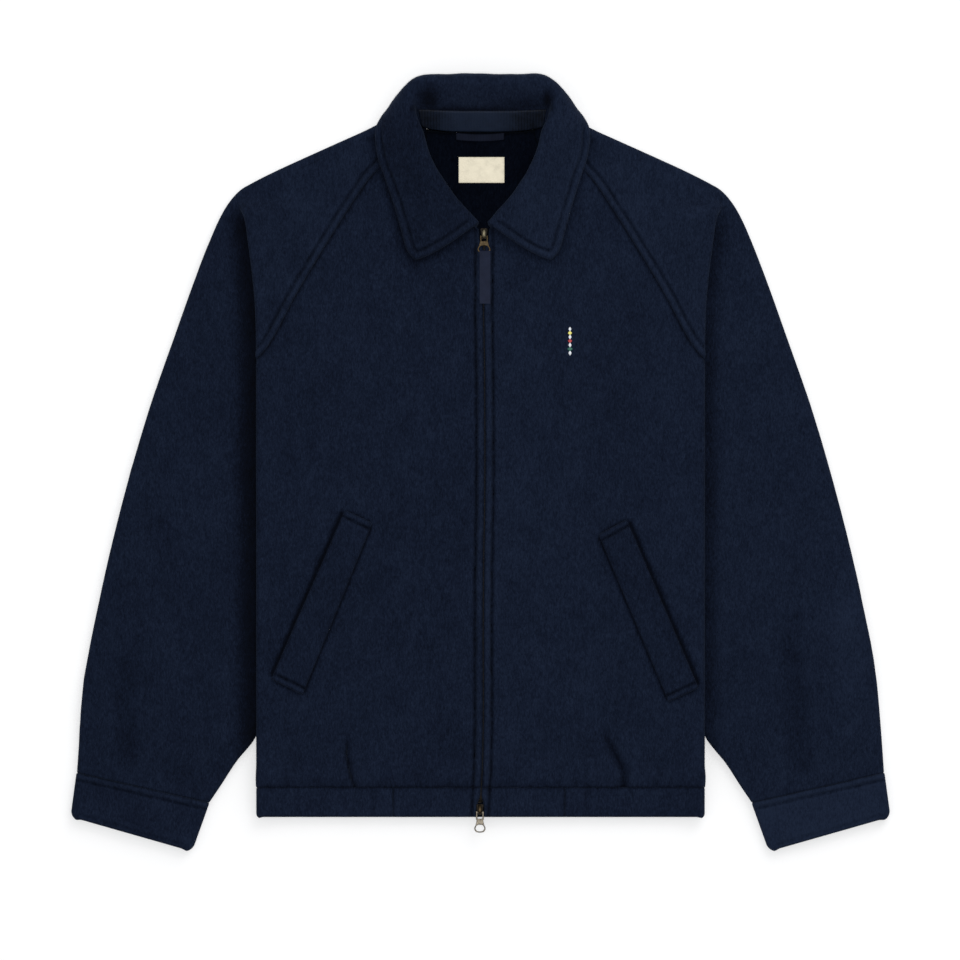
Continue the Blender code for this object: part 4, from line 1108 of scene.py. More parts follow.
def fleece_material(name, tone=1.0, gloss=1.0):
    """Brushed fleece: short upright fibres in fine vertical streaks, pale flecks, and a soft sheen."""
    nodes = Nodes(name)
    fibres = nodes.noise(nodes.stretched((1.0, 0.36, 0.6)), 740.0, 4.0, 0.66, 0.5)
    clumps = nodes.noise(nodes.stretched((1.0, 0.45, 0.7)), 210.0, 3.0, 0.6, 0.8)
    mottle = nodes.noise(nodes.stretched((1.0, 0.8, 1.0)), 34.0, 3.0, 0.55)
    flecks = nodes.noise(nodes.stretched((1.0, 0.5, 1.0)), 1100.0, 2.0, 0.7)
    body = nodes.blend((fibres, 0.62), (clumps, 0.23), (mottle, 0.15))
    bright = nodes.math("MULTIPLY", nodes.math("SUBTRACT", flecks, 0.62), 1.2, True)
    value = nodes.math("ADD", body, bright)
    # Painted shade darkens the tone here, down to the darkest stop; painted light lightens it.
    value = nodes.math("SUBTRACT", value, nodes.math("MULTIPLY", nodes.painted_shading(), 0.35))
    nodes.colour(nodes.ramp(value, (
        (0.12, tinted(FLEECE_DARK, tone * 0.35)), (0.34, tinted(FLEECE_DARK, tone)),
        (0.50, tinted(FLEECE_MIDDLE, tone)), (0.70, tinted(FLEECE_PALE, tone)))))
    nodes.bump(nodes.math("ADD", fibres, nodes.math("MULTIPLY", clumps, 0.8)), 0.55, 0.0011)
    nodes.fixed(Roughness=0.95, Specular_IOR_Level=0.06 * gloss, Sheen_Weight=0.04 * gloss,
                Sheen_Roughness=0.45, Sheen_Tint=(0.45, 0.62, 1.0, 1.0))
    return nodes.material


def satin_material(name, colour, rib_scale, roughness, shine, contrast):
    """A ribbed woven tape."""
    nodes = Nodes(name)
    vector = nodes.stretched((1.0, 1.0, 1.0))
    ribs = nodes.add("ShaderNodeTexWave", wave_type="BANDS", bands_direction="X")
    ribs.inputs["Scale"].default_value = rib_scale / (2 * math.pi)
    ribs.inputs["Distortion"].default_value = 0.8
    ribs.inputs["Detail"].default_value = 1.0
    nodes.link(vector, ribs.inputs["Vector"])
    uneven = nodes.noise(vector, 120.0, 3.0)
    value = nodes.blend((ribs.outputs["Fac"], 0.4), (uneven, 0.6))
    # Painted shade darkens the tape's tone here, down to its darkest stop.
    value = nodes.math("SUBTRACT", value, nodes.math("MULTIPLY", nodes.painted_shading(), 0.5))
    nodes.colour(nodes.ramp(value, ((0.0, tinted(colour, 0.12)), (0.3, tinted(colour, 1.0 - contrast)),
                                    (0.8, tinted(colour, 1.0 + contrast)))))
    nodes.bump(ribs.outputs["Fac"], 0.3, 0.0003)
    nodes.fixed(Roughness=roughness, Specular_IOR_Level=shine)
    return nodes.material


def thread_material(name, colour):
    """Satin stitches: fine threads laid side by side."""
    nodes = Nodes(name)
    threads = nodes.noise(nodes.stretched((1.0, 0.08, 1.0)), 2600.0, 2.0)
    nodes.colour(nodes.ramp(threads, ((0.3, tinted(colour, 0.72)), (0.7, tinted(colour, 1.05)))))
    nodes.bump(threads, 0.4, 0.0003)
    nodes.fixed(Roughness=0.5, Specular_IOR_Level=0.4)
    return nodes.material


def brass_material(name, colour):
    """Aged metal, a little brighter where it is rubbed."""
    nodes = Nodes(name)
    vector = nodes.stretched((1.0, 1.0, 1.0))
    stain = nodes.noise(vector, 420.0, 4.0, 0.65)
    scratch = nodes.noise(nodes.stretched((1.0, 0.12, 1.0)), 2400.0, 2.0)
    nodes.colour(nodes.ramp(stain, ((0.32, tinted(colour, 0.45)), (0.60, colour))))
    rough = nodes.math("ADD", nodes.math("MULTIPLY", scratch, 0.25), 0.34)
    nodes.link(rough, nodes.shader.inputs["Roughness"])
    nodes.bump(scratch, 0.12, 0.0002)
    nodes.fixed(Metallic=1.0)
    return nodes.material


def plain_material(name, colour, roughness):
    nodes = Nodes(name)
    nodes.shader.inputs["Base Color"].default_value = (*colour, 1.0)
    nodes.fixed(Roughness=roughness)
    return nodes.material


# ---------------------------------------------------------------- relief of each piece

# Creases above the hem and folds down the sleeves: plan points towards the deep end, width, depth
HEM_CREASES = {
    "left": (((-132.5, -268.0), (-134.0, -290.0), (-131.5, -308.0), (-126.0, -326.0)), 3.0, 3.2),
    "right": (((121.0, -262.0), (127.0, -278.0), (136.0, -296.0), (144.0, -313.0), (143.0, -326.0)),
              5.2, 4.4),
}
# Short tucks above the hem seam: columns x, width, share of the full depth
HEM_TUCKS = {
    "left": ((-194.0, 3.0, 1.1), (-160.0, 4.0, 0.7), (-100.0, 4.0, 0.6), (-60.0, 5.0, 0.5),
             (-30.0, 4.0, 0.5)),
    "right": ((30.0, 4.0, 0.5), (62.0, 5.0, 0.5), (94.0, 3.0, 1.1), (106.0, 3.5, 1.2), (176.0, 4.0, 0.7),
              (200.0, 4.0, 0.6)),
}
SLEEVE_FOLDS = {
    "left": (((-350.0, -180.0), (-356.0, -240.0), (-350.0, -292.0)), 14.0, 2.4),
    "right": (((304.0, -140.0), (312.0, -220.0), (320.0, -302.0)), 15.0, 3.4),
}
# A swell on each sleeve, also drawn lighter as painted light: x, y, strength
SLEEVE_BULGE = {"left": (-300.0, -190.0, 0.0), "right": (368.0, -175.0, 1.0)}
# Painted shadow of the body on a sleeve close beside it: width, share of the darkest
SLEEVE_PAINTED_SHADOW = {"left": (17.0, 0.9), "right": (12.0, 0.45)}
# Painted shadow of the collar on the cloth close round its outer edge, by side
COLLAR_PAINTED_SHADOW = {-1: 0.55, 1: 0.35}
# Above this level the sleeve's tube lies on the shoulder and isn't shaded by the body
SHOULDER_ROLL_Y = 262.0

# Painted light: how much lighter each piece is drawn than the plain cloth, as the light falls on it; below 0
# it is painted shade
PAINTED_LIGHT_BY_PIECE = {"front_left": 0.04, "front_right": 0.09, "cap_left": 0.12, "cap_right": 0.20, "tube_left": 0.06,
         "tube_right": 0.12, "cuff_left": 0.06, "cuff_right": 0.42, "band": 0.10, "collar_left": -0.08,
         "collar_right": 0.21, "collar_back": 0.16}


def facing_up(normals):
    """How much each point of the middle surface faces up."""
    return smooth(normals[:, 2] * 1.6)


def seam_shade(distance, width=1.6):
    """Painted shade beside a seam."""
    return SEAM_DARK * bell(distance, width)


def painted_collar_shadow(points, side):
    """Painted shadow of the collar close round its outer edge."""
    rows = both_sides(collar_half_rows(np.array([0.0, 1.0])))
    outline = [row[-1] for row in rows]
    outline = list(rows[0][2:-1]) + outline + list(rows[-1][2:-1][::-1])
    distance, _ = near_path(points * (1.0, 1.0, 0.0), np.array(outline) * (1.0, 1.0, 0.0))
    return COLLAR_PAINTED_SHADOW[side] * np.exp(-(distance / 5.0) ** 1.5)


def beside_line(x, y, start, finish, side):
    """Distances of plan points from a line, outwards from the zip, and a window that fades at its ends."""
    start, finish = np.array(start), np.array(finish)
    length = float(np.linalg.norm(finish - start))
    east, north = (finish - start) / length
    along = (x - start[0]) * east + (y - start[1]) * north
    outward = side * ((y - start[1]) * east - (x - start[0]) * north)
    return outward, smooth(along / 5.0) * smooth((length - along) / 5.0)


def pocket_troughs(x, y, side_name, side):
    """Cloth that sinks in at a pocket: its mouth beside the welt's free edge, and the welt's sewn edges."""
    corners = WELTS[side_name]
    away, window = beside_line(x, y, corners["top_outer"], corners["foot_outer"], side)
    mouth = bell(away - 1.6, 2.5) * window
    away, window = beside_line(x, y, corners["top_inner"], corners["foot_inner"], side)
    sewn = bell(away + 0.6, 1.6) * window
    for end in ("top", "foot"):
        away, window = beside_line(x, y, corners[f"{end}_outer"], corners[f"{end}_inner"], side)
        sewn = np.maximum(sewn, 0.8 * bell(away, 1.5) * window)
    return mouth, sewn


def front_piece(name, side_name, side, materials):
    surface = front_surface(side_name, side)
    points, faces, grid, normals = meshed(surface)
    faces, normals = turned(faces, normals, normals[points[:, 2] > FRONT_MIDDLE + 0.2][:, 2].mean() < 0)
    x, y = points[:, 0], points[:, 1]
    up = facing_up(normals)
    zip_path = [closed_edge(points[grid[k, 0]], side) for k in range(len(grid))
                if surface[0][k][0][1] <= NECK_FRONT_Y + 0.1]
    ends = TOP_STEPS + len(STITCHED_EDGE) + len(PLAIN_EDGE) - 2
    raglan_path = [points[grid[k, ends]] for k in range(len(grid))
                   if surface[0][k][0][1] >= SEAM_AT_FOLD_Y - 1]
    by_zip, along_zip = near_path(points, zip_path)
    by_raglan, along_raglan = near_path(points, raglan_path)
    by_hem, along_hem = near_path(points, points[grid[-1, :ends + 1]])
    sway = 0.55 * field(x, y, 150.0, 1.0 + side) + 0.22 * field(x, y, 46.0, 4.0 + side)
    sway = sway * smooth(by_zip / 30.0) * smooth(by_raglan / 16.0)
    line, width, depth = HEM_CREASES[side_name]
    folded = crease(x, y, line, width, depth)
    mouth, sewn = pocket_troughs(x, y, side_name, side)
    sway += folded - 2.2 * mouth - 1.1 * sewn
    # Painted shade in the pocket's mouth, along the welt's sewn edges and in the hem crease.
    sunk = np.maximum(np.maximum(mouth, 0.75 * sewn), -folded / depth * 0.6)
    for place, spread_x, deep in HEM_TUCKS[side_name]:
        tuck = bell(x - place, spread_x) * np.exp(-by_hem / 9.0)
        sway -= 1.7 * deep * tuck
        # Painted shade in each tuck.
        sunk = np.maximum(sunk, 0.4 * deep * tuck)
    sway += 1.5 * bell(by_hem - 11.0, 9.0) * (1 + 0.4 * ripple(along_hem, 40.0, 7.0 + side))
    sway += pucker(by_hem, along_hem, 2.0 + side, 1.2, 15.0, 12.0)
    sway += pucker(by_raglan, along_raglan, 5.0 + side, 0.16, 14.0, 6.0)
    relief = stitched(by_zip, along_zip, 3.0 + side, 8.2, 2.8, 1.1)
    relief -= 1.2 * bell(by_raglan, 2.6)
    relief -= 0.8 * bell(by_hem, 2.4)
    # Painted shade beside the raglan, hem and zip seams, and the collar's painted shadow.
    seams = seam_shade(by_raglan, 2.2) + seam_shade(by_hem, 1.8)
    seams = np.maximum(seams, 0.6 * bell(by_zip, 1.1))
    sunk = np.maximum(np.maximum(sunk, seams), painted_collar_shadow(points, side))
    relief += pucker(by_zip, along_zip, 6.0 + side, 0.14, 16.0, 6.0)
    return make_shell(name, points, faces, CLOTH, materials, sway * up, relief * up, EDGE_ROUND, 1, sunk * up,
                      PAINTED_LIGHT_BY_PIECE[f"front_{side_name}"])


def closed_edge(point, side):
    """Where a point on the edge beside the zip lies when the edges meet all the way."""
    return np.array([zip_x(point[1]) + side * CLOSED_HALF_GAP, point[1], point[2]])


def sleeve_piece(name, side_name, side, materials):
    surface = sleeve_surface(side)
    points, faces, number = weld(surface)
    cap_rows, cap_width = np.array(surface[0]).shape[:2]
    tube_rows, tube_width = np.array(surface[1]).shape[:2]
    cap = number[:cap_rows * cap_width].reshape(cap_rows, cap_width)
    tube = number[cap_rows * cap_width:].reshape(tube_rows, tube_width)
    normals = point_normals(points, face_table(faces))
    faces, normals = turned(faces, normals, normals[cap[:20, 5]][:, 2].mean() < 0)
    x, y = points[:, 0], points[:, 1]
    half = np.abs(x)
    up = facing_up(normals)
    raglan_path = [points[cap[k, 0]] for k in range(cap_rows) if surface[0][k][0][1] >= SEAM_AT_FOLD_Y - 1]
    back_path = [points[tube[k, -1]] for k in range(tube_rows) if surface[1][k][0][1] >= UNDERARM_Y]
    by_raglan, along_raglan = near_path(points, raglan_path)
    by_back, along_back = near_path(points, back_path)
    by_cuff, along_cuff = near_path(points, points[tube[-1]])
    is_cap = np.zeros(len(points), dtype=bool)
    is_cap[np.unique(cap[:, :CAP_STEPS + len(STITCHED_EDGE) + ARC_STEPS])] = True
    outline = read_curve(OUTLINE, y)
    fold = read_curve(TOP_FOLD, np.clip(y, -360.0, 275.0))
    shown = np.where(is_cap, 1.0, smooth((half - fold - 1.0) / 14.0))
    shown = np.where(y < -275.0, 1.0, shown)
    shown = np.where((y > SHOULDER_ROLL_Y) & ~is_cap, smooth((half - fold) / 6.0), shown)
    rim = smooth((outline - half) / 46.0)
    inner = smooth((half - np.where(y > -275.0, fold, read_curve(INNER_EDGE, y))) / 60.0)
    crown = 4.2 * rim * inner * (~is_cap) * smooth((by_cuff - 2.0) / 40.0)
    sway = (crown + 0.6 * field(x, y, 130.0, 11.0 + side) + 0.25 * field(x, y, 44.0, 13.0 + side)) * shown
    line, width, depth = SLEEVE_FOLDS[side_name]
    folded = crease(x, y, line, width, depth)
    sway += folded * shown
    shade_width, shade = SLEEVE_PAINTED_SHADOW[side_name]
    below_shoulder = smooth((SHOULDER_ROLL_Y - y) / 30.0) * (~is_cap)
    painted_body_shadow = shade * np.exp(-(np.maximum(half - fold, 0.0) / shade_width) ** 2.4) * below_shoulder
    # Painted shade: the body's shadow beside it, the fold's trough, and the collar's shadow on the cap.
    sunk = np.maximum(np.maximum(painted_body_shadow, -0.2 * folded / depth), painted_collar_shadow(points, side) * is_cap) * up
    bulge_x, bulge_y, bulge = SLEEVE_BULGE[side_name]
    bulge = bulge * bell(x - bulge_x, 18.0) * bell(y - bulge_y, 80.0) * shown * up
    sway += 1.6 * bulge
    on_top = np.where(is_cap, 1.0, smooth((y - 225.0) / 40.0))
    # Painted light: tube and cap lighter as given, and the swell lighter still.
    painted_light = PAINTED_LIGHT_BY_PIECE[f"tube_{side_name}"] * (1.0 - on_top) + PAINTED_LIGHT_BY_PIECE[f"cap_{side_name}"] * on_top + 0.20 * bulge
    sway *= smooth(by_raglan / 14.0)
    sway += pucker(by_cuff, along_cuff, 8.0 + side, 0.45, 18.0, 14.0) * shown
    sway += pucker(by_raglan, along_raglan, 5.0 + side, 0.16, 14.0, 6.0) * is_cap
    relief = stitched(by_raglan, along_raglan, 9.0 + side, 7.3, 2.0, 1.5) * is_cap * up
    underneath = normals[:, 2] < -0.6
    relief += stitched(by_back, along_back, 4.0 + side, 7.3, 1.0, 0.0) * underneath * (by_back < 30)
    return make_shell(name, points, faces, CLOTH, materials, sway * up, relief, EDGE_ROUND, 1, sunk, painted_light)


def cuff_piece(name, side, materials):
    points, faces, grid, normals = meshed(cuff_surface(side))
    faces, normals = turned(faces, normals, normals[grid[5, 20]][2] < 0)
    by_top, along_top = near_path(points, points[grid[0]])
    by_foot, along_foot = near_path(points, points[grid[-1]])
    up = facing_up(normals)
    x, y = points[:, 0], points[:, 1]
    sway = 0.35 * field(x, y, 70.0, 21.0 + side)
    sway = (sway + pucker(by_top, along_top, 22.0 + side, 0.30, 19.0, 12.0)) * up
    relief = stitched(by_top, along_top, 23.0 + side, 7.0, 1.6, 1.5)
    relief += stitched(by_foot, along_foot, 24.0 + side, 4.2, 0.7, 0.3)
    relief *= smooth((np.abs(normals[:, 2]) - 0.3) * 2.0)
    painted_light = PAINTED_LIGHT_BY_PIECE["cuff_left" if side < 0 else "cuff_right"]
    # Painted shade beside the cuff's top seam.
    return make_shell(name, points, faces, CUFF_CLOTH, materials, sway, relief, 2.0, 1, seam_shade(by_top),
                      painted_light)


def back_piece(name, materials):
    points, faces, _, normals = meshed(back_surface())
    faces, normals = turned(faces, normals, normals[:, 2].mean() > 0)
    x, y = points[:, 0], points[:, 1]
    inside = smooth((y - 200.0) / 60.0)
    sway = -0.35 * np.abs(field(x, y, 120.0, 31.0)) * inside
    return make_shell(name, points, faces, CLOTH, materials, sway, None, EDGE_ROUND, 1)


# Gathers of the hem band: columns x, width, share of the full depth
BAND_RIPPLES = ((-214.0, 3.0, 0.7), (-197.0, 3.5, 0.9), (-181.0, 3.0, 0.6), (-160.0, 4.0, 0.8),
                (-141.0, 3.2, 0.8), (-124.0, 3.0, 0.9), (-107.0, 3.4, 1.4), (-96.0, 3.0, 0.7),
                (91.0, 2.8, 0.7), (106.0, 3.6, 1.6), (118.0, 3.0, 0.7), (136.0, 3.4, 0.9),
                (152.0, 3.0, 0.7), (170.0, 3.8, 0.9), (188.0, 3.2, 0.8), (207.0, 3.4, 0.8))


def band_piece(name, materials):
    points, faces, grid, normals = meshed(hem_band_surface())
    faces, normals = turned(faces, normals, normals[grid[5, 20]][2] < 0)
    up = facing_up(normals)
    x, y = points[:, 0], points[:, 1]
    share = (HEM_SEAM_Y - y) / (HEM_SEAM_Y - HEM_FOOT_Y)
    sway = np.zeros(len(points))
    for place, width, deep in BAND_RIPPLES:
        lean = place + 2.5 * (share - 0.3) * math.sin(place)
        sway -= 1.3 * deep * bell(x - lean, width) * (1.0 - 0.55 * share)
    # Painted shade in the gathers' troughs and a little painted light between them.
    sunk = np.clip(-0.16 * sway - 0.06, -0.10, 0.35) * up
    sway += 0.30 * field(x, y, 30.0, 41.0)
    by_top, along_top = near_path(points, points[grid[0]])
    sway += pucker(by_top, along_top, 42.0, 0.7, 11.0, 10.0)
    # Painted shade beside the hem seam.
    sunk = np.maximum(sunk, seam_shade(by_top) * up)
    return make_shell(name, points, faces, BAND_CLOTH, materials, sway * up, None, 2.0, 1, sunk,
                      PAINTED_LIGHT_BY_PIECE["band"])


def tab_piece(name, side, tab_x, materials):
    points, faces, grid, normals = meshed(hem_tab_surface(side, tab_x))
    faces, normals = turned(faces, normals, normals[:, 2].mean() < 0)
    by_zip, along_zip = near_path(points, [closed_edge(points[k], side) for k in grid[:, 0]])
    x, y = points[:, 0], points[:, 1]
    by_seams = np.minimum(HEM_SEAM_Y - y, np.abs(x - tab_x))
    sway = 0.25 * field(x, y, 50.0, 51.0 + side)
    relief = stitched(by_zip, along_zip, 52.0 + side, 8.0, 2.8, 1.1)
    # Painted shade beside the tab's seams.
    return make_shell(name, points, faces, BAND_CLOTH, materials, sway, relief, 2.0, 1, seam_shade(by_seams),
                      PAINTED_LIGHT_BY_PIECE["band"])


# Painted shade in the hollows inside the back of the collar: columns x, y, half width, half height, share of
# the darkest
COLLAR_HOLLOW_PAINTED_SHADE = ((-52.0, 364.0, 9.0, 12.0, 0.9), (67.0, 361.0, 5.0, 9.0, 1.0), (46.0, 358.0, 22.0, 9.0, 0.5),
                  (0.0, 352.5, 90.0, 4.0, 0.6))


def collar_piece(name, materials):
    points, faces, grid, normals = meshed(collar_surface())
    crest = COLLAR_STAND_STEPS + 2
    faces, normals = turned(faces, normals, normals[grid[len(grid) // 4, crest + 8]][2] < 0)
    outline = np.concatenate([grid[0, crest + 2:-1], grid[:, -1], grid[-1, crest + 2:-1][::-1]])
    by_edge, along_edge = near_path(points, points[outline])
    x, y, z = points.T
    column = np.zeros(len(points))
    for k in range(grid.shape[1]):
        column[grid[:, k]] = k
    on_fall = column > crest
    shown = on_fall * (1.0 - smooth((y - 326.0) / 14.0))
    sway = (0.5 * field(x, y, 70.0, 61.0) + 0.22 * field(x + z, y, 26.0, 62.0)) * smooth(by_edge / 12.0)
    sway *= smooth((y - 232.0) / 14.0)
    relief = stitched(by_edge, along_edge, 63.0, 8.0, 1.9, 1.7) * shown
    relief += pucker(by_edge, along_edge, 64.0, 0.28, 13.0, 8.0) * shown
    # Painted shade in the collar's inner corners and along its back neck seam.
    sunk = np.zeros(len(points))
    for place_x, place_y, wide, tall, share in COLLAR_HOLLOW_PAINTED_SHADE:
        sunk = np.maximum(sunk, share * bell(x - place_x, wide) * bell(y - place_y, tall) * (column < crest))
    # Painted light and shade: the left leaf drawn darker, the right leaf and the back lighter, as the light
    # falls.
    right = smooth((x + 30.0) / 80.0)
    back = smooth((y - 335.0) / 30.0)
    leaves = PAINTED_LIGHT_BY_PIECE["collar_left"] * (1.0 - right) + PAINTED_LIGHT_BY_PIECE["collar_right"] * right
    painted_light = leaves * (1.0 - back) + PAINTED_LIGHT_BY_PIECE["collar_back"] * back
    return make_shell(name, points, faces, COLLAR_CLOTH, materials, sway, relief, 2.1, 0, sunk, painted_light)


def welt_piece(name, corners, seed, materials):
    points, faces, grid, normals = meshed(welt_surface(corners))
    faces, normals = turned(faces, normals, normals[:, 2].mean() < 0)
    by_top, along_top = near_path(points, points[grid[0]])
    by_foot, along_foot = near_path(points, points[grid[-1]])
    by_sewn, _ = near_path(points, points[grid[:, 0]])
    by_free, _ = near_path(points, points[grid[:, -1]])
    x, y = points[:, 0], points[:, 1]
    open_edge = bell(by_free, 7.0) * smooth(by_top / 12.0) * smooth(by_foot / 12.0)
    sway = 0.3 * field(x, y, 60.0, seed) + 1.2 * open_edge
    sway -= 1.1 * bell(by_sewn, 3.0)
    relief = stitched(by_top, along_top, seed + 1.0, 6.4, 2.2, 1.0)
    relief += stitched(by_foot, along_foot, seed + 2.0, 6.4, 2.2, 1.0)
    return make_shell(name, points, faces, WELT_CLOTH, materials, sway, relief, 1.5)


def label_piece(name, materials):
    z = CLOTH + 0.15 + TAPE_CLOTH / 2
    rows = []
    for y in placed(0.0, LABEL["height"], 12, (0.0, 0.4, 1.0), (0.0, 0.4, 1.0)):
        place_y = LABEL["y"] + LABEL["height"] / 2 - y
        row = []
        for x in placed(0.0, LABEL["width"], 20, (0.0, 0.4, 1.0, 2.2, 2.8), (0.0, 0.4, 1.0, 2.2, 2.8)):
            bow = 0.5 * math.sin(math.pi * x / LABEL["width"]) * math.sin(math.pi * y / LABEL["height"])
            row.append((LABEL["x"] - LABEL["width"] / 2 + x, place_y, z + bow))
        rows.append(row)
    points, faces, _, normals = meshed([rows])
    faces, _ = turned(faces, normals, normals[:, 2].mean() < 0)
    x = points[:, 0] - LABEL["x"]
    relief = -0.22 * bell(LABEL["width"] / 2 - 2.4 - np.abs(x), 0.5)
    return make_shell(name, points, faces, TAPE_CLOTH, materials, None, relief, 0.6)


def loop_piece(name, materials):
    rows = []
    half_width = LOOP["height"] / 2
    for across in placed(0.0, LOOP["height"], 6, (0.0, 0.4, 1.0), (0.0, 0.4, 1.0)):
        y = LOOP["y"] + half_width - across
        row = []
        for share in np.linspace(-1.0, 1.0, 49):
            z = CLOTH + LAY_GAP + TAPE_CLOTH / 2 + LOOP["rise"] * (1 - share ** 4)
            row.append((LOOP["x"] + share * LOOP["width"] / 2, y - LOOP["sag"] * (1 - share ** 2), z))
        rows.append(row)
    points, faces, _, normals = meshed([rows])
    faces, _ = turned(faces, normals, normals[:, 2].mean() < 0)
    return make_shell(name, points, faces, TAPE_CLOTH, materials, None, None, 0.7)


def neck_band_piece(name, materials):
    points, faces, _, normals = meshed(neck_band_surface())
    faces, _ = turned(faces, normals, normals[:, 1].mean() > 0)
    sway = 0.25 * field(points[:, 0], points[:, 2] * 3.0, 22.0, 71.0)
    # Painted shade towards the band's ends, into the collar's corners, and along its upper edge.
    sunk = 0.9 * smooth((np.abs(points[:, 0] + 5.0) - 14.0) / 38.0)
    sunk = np.maximum(sunk, bell(points[:, 1] - points[:, 1].max(), 2.2))
    return make_shell(name, points, faces, TAPE_CLOTH, materials, sway, None, 0.7, 0, sunk)


# ---------------------------------------------------------------- zip

TAPE_UNDER_CHAIN = 0.6
TOOTH = {"pitch": 2.5, "deep": 1.5, "tall": 1.8, "reach": 1.9, "off_centre": 0.75}


def tape_piece(name, side, materials):
    rows = []
    steps = placed(0.0, TAPE_WIDTH, 4, (0.0, 0.5), (0.0, 0.5))
    for y in np.linspace(*TAPE_ENDS, 130):
        start = zip_x(y) + side * (CHAIN_HALF - TAPE_UNDER_CHAIN)
        rows.append([(start + side * step, y, TAPE_Z) for step in steps])
    points, faces, _, normals = meshed([rows])
    faces, _ = turned(faces, normals, normals[:, 2].mean() < 0)
    return make_shell(name, points, faces, TAPE_CLOTH, materials, None, None, 0.5)


def chain_piece(name, material):
    """Two rows of small metal teeth that interlock along the zip's centre."""
    bm = bmesh.new()
    place, foot = CHAIN_ENDS
    side = 1
    while place > foot:
        centre = Vector((zip_x(place) + side * TOOTH["off_centre"], place, CHAIN_Z))
        for vert in bmesh.ops.create_cube(bm, size=1.0)["verts"]:
            outer_end = vert.co.x * side > 0
            vert.co.x *= 2 * TOOTH["reach"]
            vert.co.y *= TOOTH["deep"] * (1.1 if outer_end else 0.75)
            vert.co.z *= TOOTH["tall"] * (0.7 if outer_end else 1.0)
            vert.co = (vert.co + centre) * MM
        place -= TOOTH["pitch"] / 2
        side = -side
    piece = solid(name, bm, material, 30.0)
    soften(piece, "Worn edges", 0.22, 2)
    return piece


def plate(bm, outline, hole, low, high):
    """A flat plate from a plan outline, with an optional hole with as many points as the outline."""
    layers = []
    for z in (low, high):
        outer = [bm.verts.new(Vector((x, y, z)) * MM) for x, y in outline]
        inner = [bm.verts.new(Vector((x, y, z)) * MM) for x, y in hole] if hole else []
        layers.append((outer, inner))
    count = len(outline)
    (low_outer, low_inner), (high_outer, high_inner) = layers
    for k in range(count):
        n = (k + 1) % count
        bm.faces.new((low_outer[k], low_outer[n], high_outer[n], high_outer[k]))
        if hole:
            bm.faces.new((low_inner[n], low_inner[k], high_inner[k], high_inner[n]))
            bm.faces.new((high_outer[k], high_outer[n], high_inner[n], high_inner[k]))
            bm.faces.new((low_outer[n], low_outer[k], low_inner[k], low_inner[n]))
    if not hole:
        bm.faces.new(high_outer)
        bm.faces.new(list(reversed(low_outer)))


def smooth_outline(corners, count):
    """A closed smooth curve through corners, as count points."""
    corners = np.array(corners, dtype=float)
    total = len(corners)
    points = []
    for k in range(count):
        place = k * total / count
        i = int(place)
        points.append(between(*(corners[(i + n) % total] for n in (-1, 0, 1, 2)), place - i))
    return [tuple(point) for point in points]


# A slider's plan outline, measured from its middle, and its bridge
SLIDER_SHAPE = ((3.3, 5.2), (3.4, 1.5), (2.7, -2.5), (2.3, -5.3), (-2.3, -5.3), (-2.7, -2.5), (-3.4, 1.5),
                (-3.3, 5.2))
SLIDER_PLATES = {"top": 1.5, "foot": 1.3}
SLIDER_WEDGE = {"share": (0.42, 0.40), "y": 2.9, "overlap": 0.1}
BRIDGE = {"half_length": 4.4, "sunk": 0.3, "wall": 0.9, "half_width": (0.85, 1.35), "half_thick": 0.62}
BRIDGE_STEPS = 16
BRIDGE_SIDES = 10
BRIDGE_SHOWS_ABOVE = 0.1
SHARP_ANGLE = 50.0


